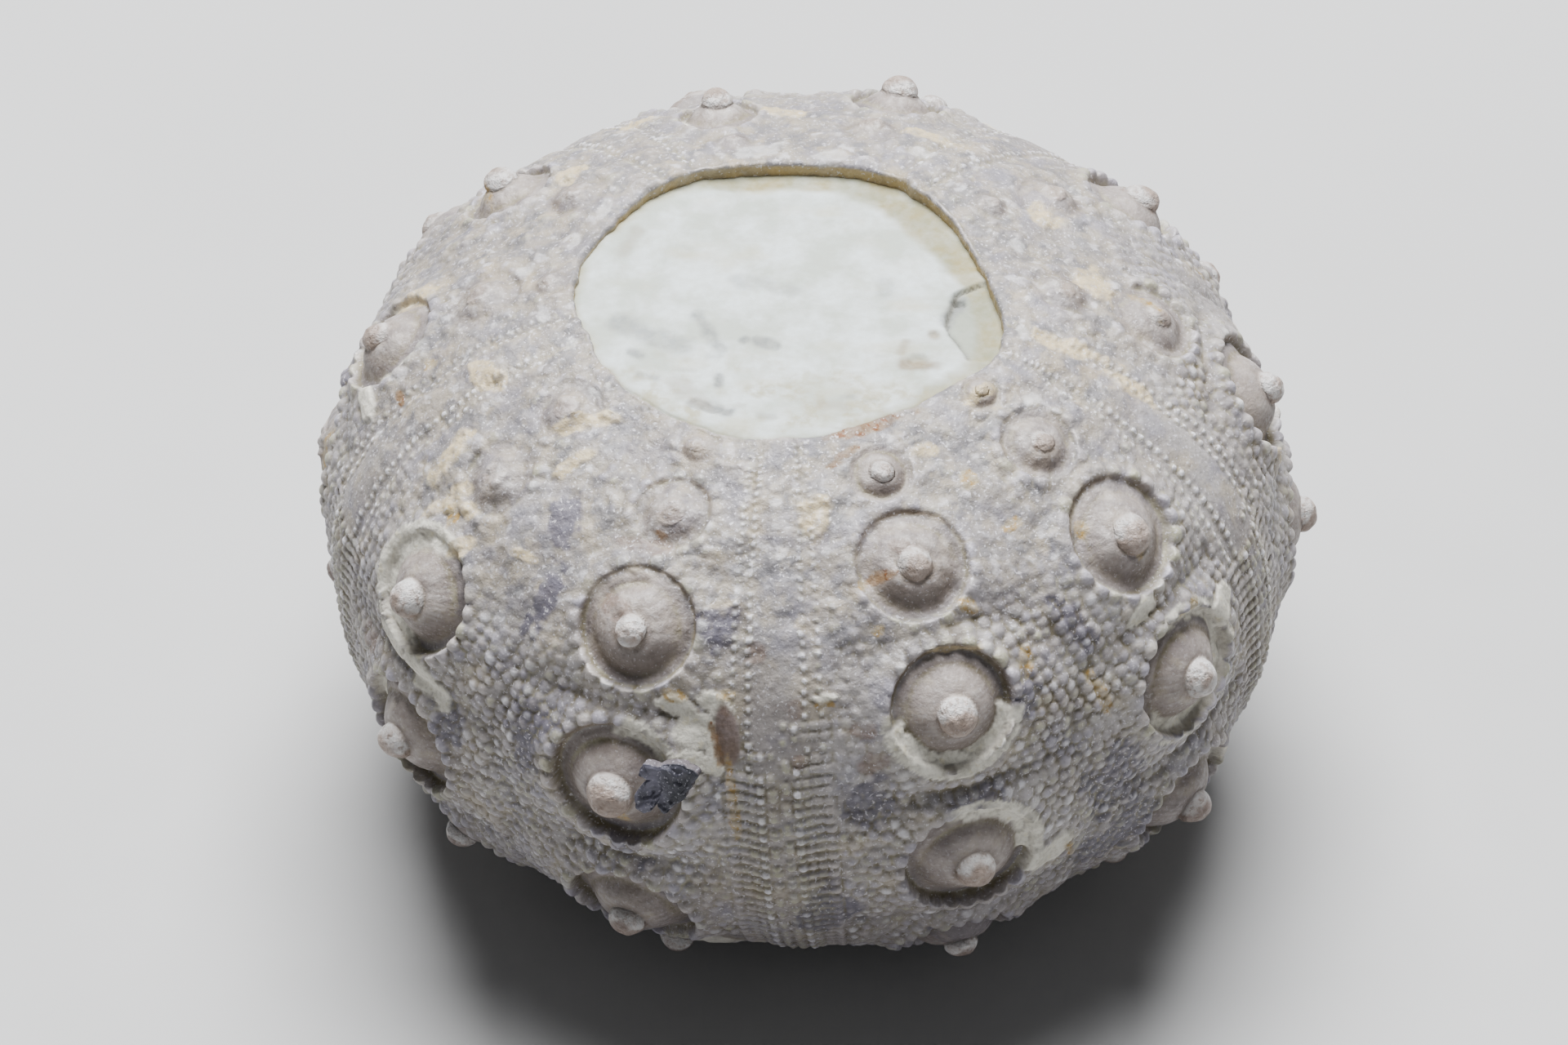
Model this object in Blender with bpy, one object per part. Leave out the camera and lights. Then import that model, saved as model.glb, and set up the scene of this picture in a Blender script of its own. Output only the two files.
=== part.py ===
"""A fossil regular sea urchin: the stony test, the hardened sediment that fills it and a slate chip.

The test stands on the flat sediment in its mouth, at z = 0, with the mouth below and the apical opening above.
Five ambulacra (narrow bands of pores) run from one opening to the other, the first of them on the -Y side.
Between them lie five interambulacra, each with two columns of large tubercles. Lengths are in millimetres.
"""

import math

import bmesh
import bpy
import numpy as np
from mathutils import Vector
from mathutils.geometry import delaunay_2d_cdt

MM = 0.001
SECTORS = 5
SECTOR = 2 * math.pi / SECTORS
FRONT = -math.pi / 2

# The test's body. Its widest ring, the ambitus, divides a flatter top from a rounder underside.
RADIUS = 22.5
AMBITUS_Z = 15.3
TOP_RISE, TOP_POWER = 16.1, 2.55
UNDER_DROP, UNDER_POWER = 15.6, 2.1
LEAN = (-0.038, -0.022)

# Both openings are rounded pentagons whose corners meet the ambulacra.
APEX_OPENING_R = 9.55
MOUTH_OPENING_R = 9.2
PENTAGON = 0.05
PENTAGON_FADE_R = (10.5, 17.0)
RIM_POINTS = 35

# The wall, and the gap that parts it from the sediment.
WALL = 1.4
GAP = 0.3
INNER_LEVELS = 7
SEDIMENT_RECESS = 0.55
SEDIMENT_FOOT_BEVEL = 0.6

# Tubercle columns. A pitch counts steps from the ambitus, and steps shorten towards the openings.
COLUMN_OFFSET = math.radians(15.9)
COLUMN_SKEW = math.radians(1.1)
AMBITUS_PITCH = 8.7
PITCH_REACH = 26.0
STEPS = range(-3, 4)
OPENING_MARGIN = 0.35

AREOLE_R = 2.9
AREOLE_TAPER = 0.65
SMALLEST_AREOLE_R = 1.0

CREST_REACH = 1.1

# A whole tubercle, ring by ring, from the crest round its areole to its knob.
# Each ring has: points, reach on the skin, true radius and height, the last three in areole radii.
WHOLE_RINGS = (
    (13, CREST_REACH, CREST_REACH, 0.05),
    (13, 0.92, 0.93, -0.17),
    (9, 0.70, 0.74, -0.06),
    (8, 0.47, 0.44, 0.25),
    (6, 0.33, 0.28, 0.34),
    (6, 0.22, 0.33, 0.50),
    (4, 0.10, 0.19, 0.64),
)
WORN_RINGS = (
    (10, CREST_REACH, CREST_REACH, 0.03),
    (10, 0.88, 0.90, -0.11),
    (7, 0.52, 0.52, 0.12),
    (1, 0.00, 0.00, 0.20),
)
WORN_FROM = 0.6
PLAIN_BELOW_R = 1.4
WEAR_SPAN = (9.0, 19.0)

# Tubercles that differ from the rule: (interambulacrum, side, step) to (areole radius, wear).
SINGLES = {
    (0, -1, 3): (1.45, 0.2),
    (0, -1, 2): (2.45, 0.35),
    (0, 1, 2): (1.75, 0.5),
    (0, 1, 1): (2.6, 0.15),
    (0, 1, 3): (0.95, 0.3),
    (4, -1, 2): (1.8, 0.85),
    (4, 1, 2): (1.7, 0.85),
    (4, 1, 1): (2.6, 0.0),
    (4, 1, 0): (2.95, 0.0),
}

# Ambulacra: a raised double row of beads between two pore furrows.
AMBULACRUM_HALF = 2.4
AMBULACRUM_LINES = ((0.0, 0.02), (0.38, 0.22), (0.78, -0.22), (1.08, 0.06))
AMBULACRUM_PITCH = 2.5

# Between the tubercles the skin is an even net of points.
NET_POINTS = 1500
NET_CLEARANCE = 0.85
GOLDEN_TURN = math.pi * (3 - math.sqrt(5))
NET_ROUGHNESS = 0.1
SEED = 5

# The slate chip, lodged in the moat of one areole.
CHIP_TUBERCLE = (4, 1, 0)
CHIP_OFFSET = (2.35, 0.7)
CHIP_SIZE = (1.4, 1.3)
CHIP_CORNERS = 9
CHIP_LIFT = 0.62
CHIP_THICKNESS = 0.55
CHIP_TILT = 0.6

MERIDIAN_STEPS = 2881
MERGE_DISTANCE = 1e-7
SHARP_ANGLE = math.radians(60)


def smoothstep(low, high, x):
    """0 below low, 1 above high, and a smooth ramp between."""
    f = np.clip((x - low) / (high - low), 0.0, 1.0)
    return f * f * (3 - 2 * f)


def halves(polar, inset=0.0):
    """The rise and the power of the body's profile at a polar angle, on the half it falls in."""
    upper = np.cos(polar) >= 0
    rise = np.where(upper, TOP_RISE, UNDER_DROP) - inset
    return rise, np.where(upper, TOP_POWER, UNDER_POWER)


def pentagon(azimuth, radius):
    """How far the five corners push a level out or in, fading away from the openings."""
    fade = 1 - smoothstep(*PENTAGON_FADE_R, radius)
    return 1 + PENTAGON * np.cos(SECTORS * (azimuth - FRONT)) * fade


def body_point(azimuth, polar, inset=0.0):
    """The point of the smooth body at an azimuth and a polar angle, inset under its surface."""
    rise, power = halves(polar, inset)
    radius = (RADIUS - inset) * np.abs(np.sin(polar)) ** (2 / power)
    height = rise * np.sign(np.cos(polar)) * np.abs(np.cos(polar)) ** (2 / power)
    radius = radius * pentagon(azimuth, radius)
    x = radius * np.cos(azimuth) + LEAN[0] * height
    y = radius * np.sin(azimuth) + LEAN[1] * height
    return np.stack([x, y, height + AMBITUS_Z], axis=-1)


def body_angles(point):
    """The azimuth and the polar angle of a point on or near the body, undoing body_point."""
    height = point[..., 2] - AMBITUS_Z
    x = point[..., 0] - LEAN[0] * height
    y = point[..., 1] - LEAN[1] * height
    azimuth = np.arctan2(y, x)
    radius = np.hypot(x, y)
    radius = radius / pentagon(azimuth, radius)
    rise, power = halves(np.where(height >= 0, 0.0, math.pi))
    across = (radius / RADIUS) ** (power / 2)
    along = np.sign(height) * np.abs(height / rise) ** (power / 2)
    return azimuth, np.arctan2(across, along)


def body_axes(azimuth, polar):
    """Unit vectors along growing azimuth, towards the apex and out of the body, at one of its points."""
    step = 1e-4
    east = body_point(azimuth + step, polar) - body_point(azimuth - step, polar)
    north = body_point(azimuth, polar - step) - body_point(azimuth, polar + step)
    east /= np.linalg.norm(east, axis=-1, keepdims=True)
    out = np.cross(east, north)
    out /= np.linalg.norm(out, axis=-1, keepdims=True)
    return east, np.cross(out, east), out


def polar_at_radius(radius, upper, inset=0.0):
    """The polar angle where the body has a given radius, on its upper or its lower half."""
    power = TOP_POWER if upper else UNDER_POWER
    angle = math.asin((radius / (RADIUS - inset)) ** (power / 2))
    return angle if upper else math.pi - angle


def meridian():
    """Polar angles down the body, the length from the ambitus to each and that length in true-shape turns."""
    polar = np.linspace(0.0, math.pi, MERIDIAN_STEPS)
    rise, power = halves(polar)
    radius = RADIUS * np.abs(np.sin(polar)) ** (2 / power)
    height = rise * np.sign(np.cos(polar)) * np.abs(np.cos(polar)) ** (2 / power)
    steps = np.hypot(np.diff(radius), np.diff(height))
    length = np.concatenate([[0.0], np.cumsum(steps)])
    middles = (radius[1:] + radius[:-1]) / 2
    turns = np.concatenate([[0.0], np.cumsum(steps / middles)])
    halfway = MERIDIAN_STEPS // 2
    return polar, length[halfway] - length, turns[halfway] - turns


POLARS, LENGTHS, TURNS = meridian()


def polar_at(length):
    """The polar angle at a length from the ambitus."""
    return np.interp(-np.asarray(length), -LENGTHS, POLARS)


def length_at(polar):
    """The length from the ambitus at a polar angle."""
    return np.interp(polar, POLARS, LENGTHS)


APEX_POLAR = polar_at_radius(APEX_OPENING_R, True)
MOUTH_POLAR = polar_at_radius(MOUTH_OPENING_R, False)


def crowding(length):
    """1 at the ambitus, falling towards the openings, where plates are short and narrow."""
    return np.cos(math.pi / 2 * np.clip(length / PITCH_REACH, -1, 1))


def tubercles():
    """Every large tubercle: its name, azimuth, polar angle, areole radius and wear."""
    found = []
    top, bottom = length_at(APEX_POLAR), length_at(MOUTH_POLAR)
    turns = 2 * PITCH_REACH / math.pi
    for area in range(SECTORS):
        middle = FRONT + SECTOR * (area + 0.5) + COLUMN_SKEW
        for side in (-1, 1):
            for step in STEPS:
                pitch = step if side < 0 else step + 0.5
                length = turns * math.asin(math.tanh(pitch * AMBITUS_PITCH / turns))
                radius = AREOLE_R * crowding(length) ** AREOLE_TAPER
                wear = float(smoothstep(*WEAR_SPAN, length))
                radius, wear = SINGLES.get((area, side, step), (radius, wear))
                room = min(top - length, length - bottom) - OPENING_MARGIN
                radius = min(radius, room / CREST_REACH)
                if radius < SMALLEST_AREOLE_R and (area, side, step) not in SINGLES:
                    continue
                name = (area, side, step)
                found.append((name, middle + side * COLUMN_OFFSET, float(polar_at(length)), radius, wear))
    return found


def skin_point(azimuth, polar, height):
    """A point standing a height above the smooth body."""
    return body_point(azimuth, polar) + height * body_axes(azimuth, polar)[2]


def ring_round(azimuth, polar, reach, count, turn):
    """Points of a circle on the skin round a centre, given as azimuths and polar angles."""
    centre = body_point(azimuth, polar)
    east, north, _ = body_axes(azimuth, polar)
    phi = turn + 2 * math.pi * np.arange(count) / count
    circle = centre + reach * (np.outer(np.cos(phi), east) + np.outer(np.sin(phi), north))
    return body_angles(circle)


def tubercle_points(azimuth, polar, radius, wear):
    """The places on the skin and the true points of one tubercle's rings."""
    plain = wear > WORN_FROM or radius < PLAIN_BELOW_R
    rings = WORN_RINGS if plain else WHOLE_RINGS
    places, points = [], []
    for level, (count, reach, true_radius, height) in enumerate(rings):
        turn = math.pi / count * (level % 2)
        az, po = ring_round(azimuth, polar, reach * radius, count, turn)
        true_az, true_po = ring_round(azimuth, polar, true_radius * radius, count, turn)
        rise = height * radius * (1 - 0.5 * wear * (height > 0.1))
        if true_radius < 0.5:
            _, _, out = body_axes(azimuth, polar)
            foot = body_point(true_az, true_po)
            centre = body_point(azimuth, polar)
            flat = foot - np.outer((foot - centre) @ out, out)
            true = flat + rise * out
        else:
            true = skin_point(true_az, true_po, rise)
        places.append(np.stack([az, po], axis=-1))
        points.append(true)
    return np.concatenate(places), np.concatenate(points)


def ambulacrum_width(length):
    """Half the width of an ambulacrum, which narrows towards the openings."""
    return AMBULACRUM_HALF * crowding(length) ** 0.5


def ambulacrum_points(azimuth):
    """Ridges and furrows along one ambulacrum, as places on the skin and true points."""
    top, bottom = length_at(APEX_POLAR), length_at(MOUTH_POLAR)
    rows = int((top - bottom) / AMBULACRUM_PITCH)
    places, heights = [], []
    for row in range(1, rows):
        length = bottom + (top - bottom) * row / rows
        polar = float(polar_at(length))
        radius = np.hypot(*(body_point(azimuth, polar)[:2]))
        for across, height in AMBULACRUM_LINES:
            for side in (-1, 1) if across else (1,):
                turn = side * across * ambulacrum_width(length) / radius
                places.append((azimuth + turn, polar))
                heights.append(height)
    places = np.array(places)
    return places, skin_point(places[:, 0], places[:, 1], np.array(heights)[:, None])


def net_points(marks, rng):
    """An even net of skin points, clear of the tubercles, the ambulacra and the openings."""
    index = np.arange(NET_POINTS) + 0.5
    polar = np.arccos(1 - 2 * index / NET_POINTS)
    azimuth = (index * GOLDEN_TURN) % (2 * math.pi)
    clear = (polar > APEX_POLAR + 0.05) & (polar < MOUTH_POLAR - 0.05)
    azimuth, polar = azimuth[clear], polar[clear]
    points = body_point(azimuth, polar)
    keep = np.ones(len(points), bool)
    for _, mark_azimuth, mark_polar, radius, _ in marks:
        distance = np.linalg.norm(points - body_point(mark_azimuth, mark_polar), axis=1)
        keep &= distance > CREST_REACH * radius + NET_CLEARANCE
    for sector in range(SECTORS):
        turn = (azimuth - FRONT - SECTOR * sector + math.pi) % (2 * math.pi) - math.pi
        across = np.abs(turn) * np.hypot(points[:, 0], points[:, 1])
        keep &= across > 1.08 * ambulacrum_width(length_at(polar)) + NET_CLEARANCE
    azimuth, polar = azimuth[keep], polar[keep]
    height = rng.normal(0.0, NET_ROUGHNESS, len(azimuth))
    return np.stack([azimuth, polar], axis=-1), skin_point(azimuth, polar, height[:, None])


def rim_angles():
    """The azimuths of the points round an opening."""
    return FRONT + 2 * math.pi * np.arange(RIM_POINTS) / RIM_POINTS


def rim_ring(polar, inset=0.0):
    """One level ring of the body."""
    return body_point(rim_angles(), np.full(RIM_POINTS, polar), inset)


def unrolled(places):
    """Places on the skin spread out flat round the apex, with small circles kept round."""
    azimuth, polar = places[:, 0], places[:, 1]
    reach = np.exp(-np.interp(polar, POLARS, TURNS))
    return np.stack([reach * np.cos(azimuth), reach * np.sin(azimuth)], axis=-1)


def add_ring(bm, points):
    """A loop of vertices."""
    return [bm.verts.new(p * MM) for p in points]


def bridge(bm, ring_a, ring_b):
    """A band of faces between two rings of equal count."""
    for i, a in enumerate(ring_a):
        j = (i + 1) % len(ring_a)
        bm.faces.new((a, ring_a[j], ring_b[j], ring_b[i]))


def finish_object(name, bm, collection, material):
    """Turns a bmesh into a named object with its faces pointing out."""
    bmesh.ops.recalc_face_normals(bm, faces=bm.faces)
    mesh = bpy.data.meshes.new(name)
    bm.to_mesh(mesh)
    bm.free()
    mesh.materials.append(material)
    mesh.shade_smooth()
    mesh.set_sharp_from_angle(angle=SHARP_ANGLE)
    result = bpy.data.objects.new(name, mesh)
    collection.objects.link(result)
    return result


def make_material(name, colour, roughness):
    """A Principled material with one colour."""
    material = bpy.data.materials.new(name)
    material.use_nodes = True
    shader = material.node_tree.nodes["Principled BSDF"]
    shader.inputs["Base Color"].default_value = (*colour, 1.0)
    shader.inputs["Roughness"].default_value = roughness
    shader.inputs["Metallic"].default_value = 0.0
    material.diffuse_color = (*colour, 1.0)
    return material


def outer_skin(bm):
    """The test's outside, open at the apex and the mouth. Returns the two loops of rim vertices."""
    rng = np.random.default_rng(SEED)
    marks = tubercles()
    rims = [np.stack([rim_angles(), np.full(RIM_POINTS, p)], axis=-1) for p in (APEX_POLAR, MOUTH_POLAR)]
    groups = [(rim, body_point(rim[:, 0], rim[:, 1])) for rim in rims]
    groups += [tubercle_points(*mark[1:]) for mark in marks]
    groups += [ambulacrum_points(FRONT + SECTOR * sector) for sector in range(SECTORS)]
    groups.append(net_points(marks, rng))
    places = np.concatenate([g[0] for g in groups])
    points = np.concatenate([g[1] for g in groups])
    flat = [Vector(place) for place in unrolled(places)]
    _, _, triangles, sources, _, _ = delaunay_2d_cdt(flat, [], [], 0, MERGE_DISTANCE)
    verts = add_ring(bm, points)
    for triangle in triangles:
        corners = [sources[corner][0] for corner in triangle]
        if max(corners) >= RIM_POINTS:
            bm.faces.new([verts[corner] for corner in corners])
    return [verts[i * RIM_POINTS : (i + 1) * RIM_POINTS] for i in range(2)]


def inner_levels(inset):
    """Polar angles of the rings that line the inside, from the apex opening to the mouth."""
    top = polar_at_radius(APEX_OPENING_R, True, inset)
    bottom = polar_at_radius(MOUTH_OPENING_R, False, inset)
    return np.linspace(top, bottom, INNER_LEVELS)


def make_test(collection):
    """The test: a stony shell with its tubercles, open at the apex and the mouth."""
    bm = bmesh.new()
    apex, mouth = outer_skin(bm)
    rings = [add_ring(bm, rim_ring(polar, WALL)) for polar in inner_levels(WALL)]
    for ring_a, ring_b in zip([apex, *rings], [*rings, mouth]):
        bridge(bm, ring_a, ring_b)
    bmesh.ops.triangulate(bm, faces=bm.faces)
    return finish_object("test", bm, collection, make_material("fossil_calcite", (0.42, 0.37, 0.33), 0.62))


def shrunk(ring, amount):
    """A level ring moved in towards its own centre."""
    centre = ring.mean(axis=0)
    away = ring - centre
    reach = np.linalg.norm(away, axis=1, keepdims=True)
    return centre + away * (1 - amount / reach)


def at_height(ring, height):
    """The ring moved to one height."""
    return np.column_stack([ring[:, :2], np.full(len(ring), height)])


def make_sediment(collection):
    """The hardened sediment: it fills the test, is level in the opening and flat under the mouth."""
    bm = bmesh.new()
    apex = shrunk(rim_ring(APEX_POLAR), GAP)
    mouth = shrunk(rim_ring(MOUTH_POLAR), GAP)
    top_z = float(apex[:, 2].min()) - SEDIMENT_RECESS
    levels = [shrunk(rim_ring(p, WALL + GAP), GAP) for p in inner_levels(WALL + GAP)]
    profile = [at_height(apex, top_z), *levels]
    profile.append(at_height(mouth, SEDIMENT_FOOT_BEVEL))
    profile.append(at_height(shrunk(mouth, SEDIMENT_FOOT_BEVEL), 0.0))
    rings = [add_ring(bm, ring) for ring in profile]
    for ring_a, ring_b in zip(rings, rings[1:]):
        bridge(bm, ring_a, ring_b)
    for lid in (rings[0], rings[-1]):
        bm.faces.new(lid)
    return finish_object("sediment_fill", bm, collection, make_material("chalky_sediment", (0.66, 0.68, 0.6), 0.85))


def make_chip(collection):
    """A thin slate chip lodged in the moat of one areole, just clear of the test."""
    rng = np.random.default_rng(SEED)
    azimuth, polar = next(mark[1:3] for mark in tubercles() if mark[0] == CHIP_TUBERCLE)
    centre = body_point(azimuth, polar)
    east, north, out = body_axes(azimuth, polar)
    middle = centre + CHIP_OFFSET[0] * east + CHIP_OFFSET[1] * north
    bm = bmesh.new()
    for layer, height in enumerate((CHIP_LIFT, CHIP_LIFT + CHIP_THICKNESS)):
        for corner in range(CHIP_CORNERS):
            phi = 2 * math.pi * (corner + 0.35 * layer) / CHIP_CORNERS
            reach = 1 - 0.28 * rng.random() - 0.12 * layer
            along = CHIP_SIZE[0] * reach * math.cos(phi)
            across = CHIP_SIZE[1] * reach * math.sin(phi)
            rise = height + CHIP_TILT * max(-along, 0.0)
            bm.verts.new((middle + along * east + across * north + rise * out) * MM)
    bmesh.ops.convex_hull(bm, input=bm.verts)
    return finish_object("slate_chip", bm, collection, make_material("slate", (0.09, 0.1, 0.12), 0.6))


def main():
    for old in list(bpy.data.objects):
        bpy.data.objects.remove(old, do_unlink=True)
    collection = bpy.data.collections.new("fossil_sea_urchin")
    bpy.context.scene.collection.children.link(collection)
    make_test(collection)
    make_sediment(collection)
    make_chip(collection)


main()
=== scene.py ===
"""The looks of a fossil sea urchin: its beaded test, the chalky sediment inside and a slate chip.

Each piece is laid over its solid. Lengths are millimetres until a mesh is made. A place on the skin is an
azimuth and a length, which is measured along the meridian from the ambitus, the widest ring, and grows
towards the apex. The skin is one net of rows, cut in five sectors along the ambulacra.
"""
import math

import bpy
import numpy as np
from mathutils import Matrix, Vector


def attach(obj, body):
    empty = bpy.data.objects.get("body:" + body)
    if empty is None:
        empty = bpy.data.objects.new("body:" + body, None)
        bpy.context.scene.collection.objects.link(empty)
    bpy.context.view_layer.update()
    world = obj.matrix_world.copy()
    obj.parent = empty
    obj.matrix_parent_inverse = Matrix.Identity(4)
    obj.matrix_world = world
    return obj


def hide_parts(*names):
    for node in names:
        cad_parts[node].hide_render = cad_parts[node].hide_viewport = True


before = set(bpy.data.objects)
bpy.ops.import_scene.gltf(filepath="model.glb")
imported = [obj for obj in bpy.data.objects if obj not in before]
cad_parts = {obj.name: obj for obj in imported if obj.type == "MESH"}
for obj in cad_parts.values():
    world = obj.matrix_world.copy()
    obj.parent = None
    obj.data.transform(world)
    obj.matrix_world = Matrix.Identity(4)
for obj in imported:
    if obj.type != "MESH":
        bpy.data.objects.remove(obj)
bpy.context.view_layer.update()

MM = 0.001
SECTORS = 5
SECTOR = 2 * math.pi / SECTORS
FRONT = -math.pi / 2

# The test's body, as in its solid.
RADIUS = 22.5
AMBITUS_Z = 15.3
TOP_RISE, TOP_POWER = 16.1, 2.55
UNDER_DROP, UNDER_POWER = 15.6, 2.1
LEAN = (-0.038, -0.022)
APEX_OPENING_R = 9.55
MOUTH_OPENING_R = 9.2
PENTAGON = 0.05
PENTAGON_FADE_R = (10.5, 17.0)
WALL = 1.4
GAP = 0.3
MERIDIAN_STEPS = 2881

# Tubercle columns, as in the solid. A single one has its own areole radius and wear.
COLUMN_OFFSET = math.radians(15.9)
COLUMN_SKEW = math.radians(1.1)
AMBITUS_PITCH = 8.7
PITCH_REACH = 26.0
STEPS = range(-3, 4)
OPENING_MARGIN = 0.35
AREOLE_R = 2.9
AREOLE_TAPER = 0.65
SMALLEST_AREOLE_R = 1.0
CREST_REACH = 1.1
WEAR_SPAN = (9.0, 19.0)
SINGLES = {
    (0, -1, 3): (1.45, 0.2),
    (0, -1, 2): (2.45, 0.35),
    (0, 1, 2): (1.75, 0.5),
    (0, 1, 1): (2.6, 0.15),
    (0, 1, 3): (0.95, 0.3),
    (4, -1, 2): (1.8, 0.85),
    (4, 1, 2): (1.7, 0.85),
    (4, 1, 1): (2.6, 0.0),
    (4, 1, 0): (2.95, 0.0),
}
AMBULACRUM_HALF = 2.4

# The net of the skin.
ROW_STEP = 0.105
POINT_STEP = 0.115
RIM_ROUNDING = 0.24
RIM_ARC_STEPS = 3
RIM_DEPTH = 1.5
RIM_WALL_STEP = 0.15
RIM_BLEND = 3.2

# The outline of the opening: how far it stands outside the solid's rim, by azimuth in degrees.
RIM_OUTLINE = (
    (-178, 0.4), (-168, 0.05), (-158, -0.2), (-144, 0.35), (-135, 0.8), (-124, 1.05), (-112, 0.85),
    (-101, 0.55), (-93, 0.3), (-84, 0.2), (-68, 0.5), (-53, 0.8), (-37, 0.55), (-23, 0.5), (-16, 0.15),
    (-5, -0.05), (7, -0.1), (20, -0.3), (40, -0.8), (53, -1.05), (68, -0.85), (82, -0.6), (97, -0.5),
    (110, -0.75), (125, -0.6), (136, -0.3), (148, 0.2), (158, 0.6), (171, 0.8),
)
RIM_RAGGED, RIM_CHIPPED, RIM_CIRCLE_R = 0.15, 0.06, 8.0

# One tubercle from its centre outward: place on the skin, true radius and height, all in areole radii.
WHOLE_PROFILE = (
    (0.00, 0.000, 0.590), (0.05, 0.060, 0.588), (0.10, 0.125, 0.572), (0.15, 0.190, 0.535),
    (0.20, 0.250, 0.480), (0.25, 0.300, 0.410), (0.29, 0.318, 0.355), (0.33, 0.312, 0.310),
    (0.37, 0.318, 0.282), (0.41, 0.350, 0.272), (0.45, 0.405, 0.262), (0.50, 0.470, 0.235),
    (0.57, 0.575, 0.170), (0.64, 0.675, 0.085), (0.71, 0.760, -0.005), (0.77, 0.825, -0.060),
    (0.84, 0.885, -0.095), (0.92, 0.935, -0.112), (0.97, 0.970, -0.115), (1.01, 0.998, -0.105),
    (1.05, 1.022, -0.065), (1.09, 1.042, 0.000), (1.14, 1.085, 0.030), (1.22, 1.195, 0.025),
    (1.34, 1.340, 0.000),
)
WORN_PROFILE = (
    (0.0, 0.0, 0.20), (0.15, 0.15, 0.195), (0.3, 0.3, 0.17), (0.5, 0.5, 0.10), (0.7, 0.7, -0.01),
    (0.83, 0.83, -0.09), (0.95, 0.94, -0.11), (1.01, 1.0, -0.06), (1.07, 1.06, 0.01), (1.16, 1.16, 0.015),
    (1.34, 1.34, 0.0),
)
PROFILE_REACH = 1.34
PROFILE_SPARE = 1.08
PROFILE_STEPS = 269
PROFILE_SOFTNESS = 9

# Mamelons that the photograph shows more or less worn than their solids have them.
SEEN_WEAR = {
    (3, 1, 0): 0.9, (3, -1, 1): 0.5, (3, -1, 2): 0.05, (2, 1, 1): 0.85, (2, 1, 2): 0.0, (2, -1, 2): 0.0,
    (4, -1, 2): 1.0, (4, 1, 2): 0.95, (0, 1, 1): 0.3,
}

# Mamelons that stand out by their size, as shares of the usual one, and areoles whose wall is mostly gone.
MAMELON_SIZES = {
    (4, 1, 1): 0.86, (4, 1, 0): 1.12, (0, -1, 1): 1.05, (0, -1, 3): 1.15, (4, -1, 1): 1.05,
    (0, 1, 1): 1.1, (2, -1, 2): 1.3, (2, 1, 2): 1.25, (3, -1, 2): 1.2, (1, 1, 1): 1.15,
}
USUAL_MAMELON_SIZES = (0.9, 1.06)
WALL_WEAR = {
    (0, -1, 3): 1.0, (0, 1, 3): 1.0, (0, 1, 2): 0.8, (0, -1, 2): 0.35, (4, -1, 2): 0.75,
    (4, 1, 2): 0.55, (4, 1, 1): 0.45, (0, 1, 1): 0.4, (0, -1, 1): 0.2,
}

# How a tubercle departs from its profile, in areole radii. A ramp is (none, full), a band is (low, full,
# fade, end), and a pair of amounts is one for a whole tubercle and what full wear adds to it.
TIP_UP, TIP_UP_LENGTHS = 0.2, (3, 9)
TIP_DOWN, TIP_DOWN_LENGTHS = 0.18, (-1, -6)
OUTLINE_CHANGE, OUTLINE_RAMP = 0.045, (PROFILE_REACH, 1.1)
WALL_WEAR_SHARE, WALL_SPARED, WALL_RAGGED, WALL_LOSS = 1.15, 0.1, 0.5, 0.9
WALL_RAMP = (0.6, 0.9)
ABOVE, BELOW = (-0.3, 0.7), (0.2, -0.7)
FLOOR_ABOVE, FLOOR_ABOVE_BAND = 0.075, (0.72, 0.86, 0.98, 1.06)
FLOOR_BELOW, FLOOR_BELOW_BAND = 0.05, (0.78, 0.98, 1.02, 1.12)
MAMELON_BASE, MAMELON_RAMP, KNOB_RAMP = 0.27, (0.5, 0.38), (0.45, 0.3)
AREOLE_LUMPS, AREOLE_RAMP = (0.012, 0.045), (1.1, 0.9)
KNOB_LUMPS, KNOB_OFF_ROUND = (0.034, 0.05), 0.08
TIP_PIT, TIP_PIT_HALF = 0.035, 0.055

# Beads: radius, height and pitch, and how unevenly they are set.
GRANULE_PITCH, GRANULE_ROW = 0.62, 0.87
GRANULE_R, GRANULE_H = 0.33, 0.2
GRANULE_SHIFT, GRANULE_DRIFT, GRANULE_SPREAD = 0.22, 0.13, 0.2
GRANULES_LOST, GRANULE_ROOM, BORDER_ROOM = 0.03, 0.42, 0.1
BORDER_SHRINK, BORDER_REACH = 0.22, 1.2
RING_PITCH = 0.88
RING_R, RING_H = 0.43, 0.27
RING_REACH, RING_SHIFT, RING_SPREAD = 1.14, 0.16, 0.14
RING_ROOM, RING_CLEAR = 0.62, 1.02
PORE_PITCH, RIDGED_BELOW, RIDGED_RAGGED = 0.57, 7.5, 1.6
ROUND, FLAT = 0.85, 0.45
SEED = 11

# Relief of the plates: the swell round an areole, the valley between plates and the furrows beside it.
SUTURE_HALF, SUTURE_DEPTH, SUTURE_RAGGED = 0.3, 0.05, 0.12
SWELL_REACH, SWELL_HALF, SWELL_HEIGHT = 1.2, 0.24, 0.24
VALLEY_HALF, VALLEY_DEPTH = 0.75, 0.2
FURROW_DEPTH, FURROW_HALF, FURROW_MIDDLE = 0.13, 0.26, 0.72
KEEL_HEIGHT, KEEL_HALF = 0.04, 0.42
BORDER_DEPTH, BORDER_HALF, BORDER_MIDDLE = 0.06, 0.06, 1.06
SWAY, LUMPS, TOP_LUMPS = 0.15, 0.03, 0.13
GRAIN, WORN_GRAIN = 0.012, 0.045
CRUST, CRUST_RAGGED, CRUST_COVER = 0.15, 0.05, 0.75
OCHRE_RAGGED, VEIN_HEIGHT, LENS_HEIGHT = 0.05, 0.11, 0.1
RIM_STILL = 0.35

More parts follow.
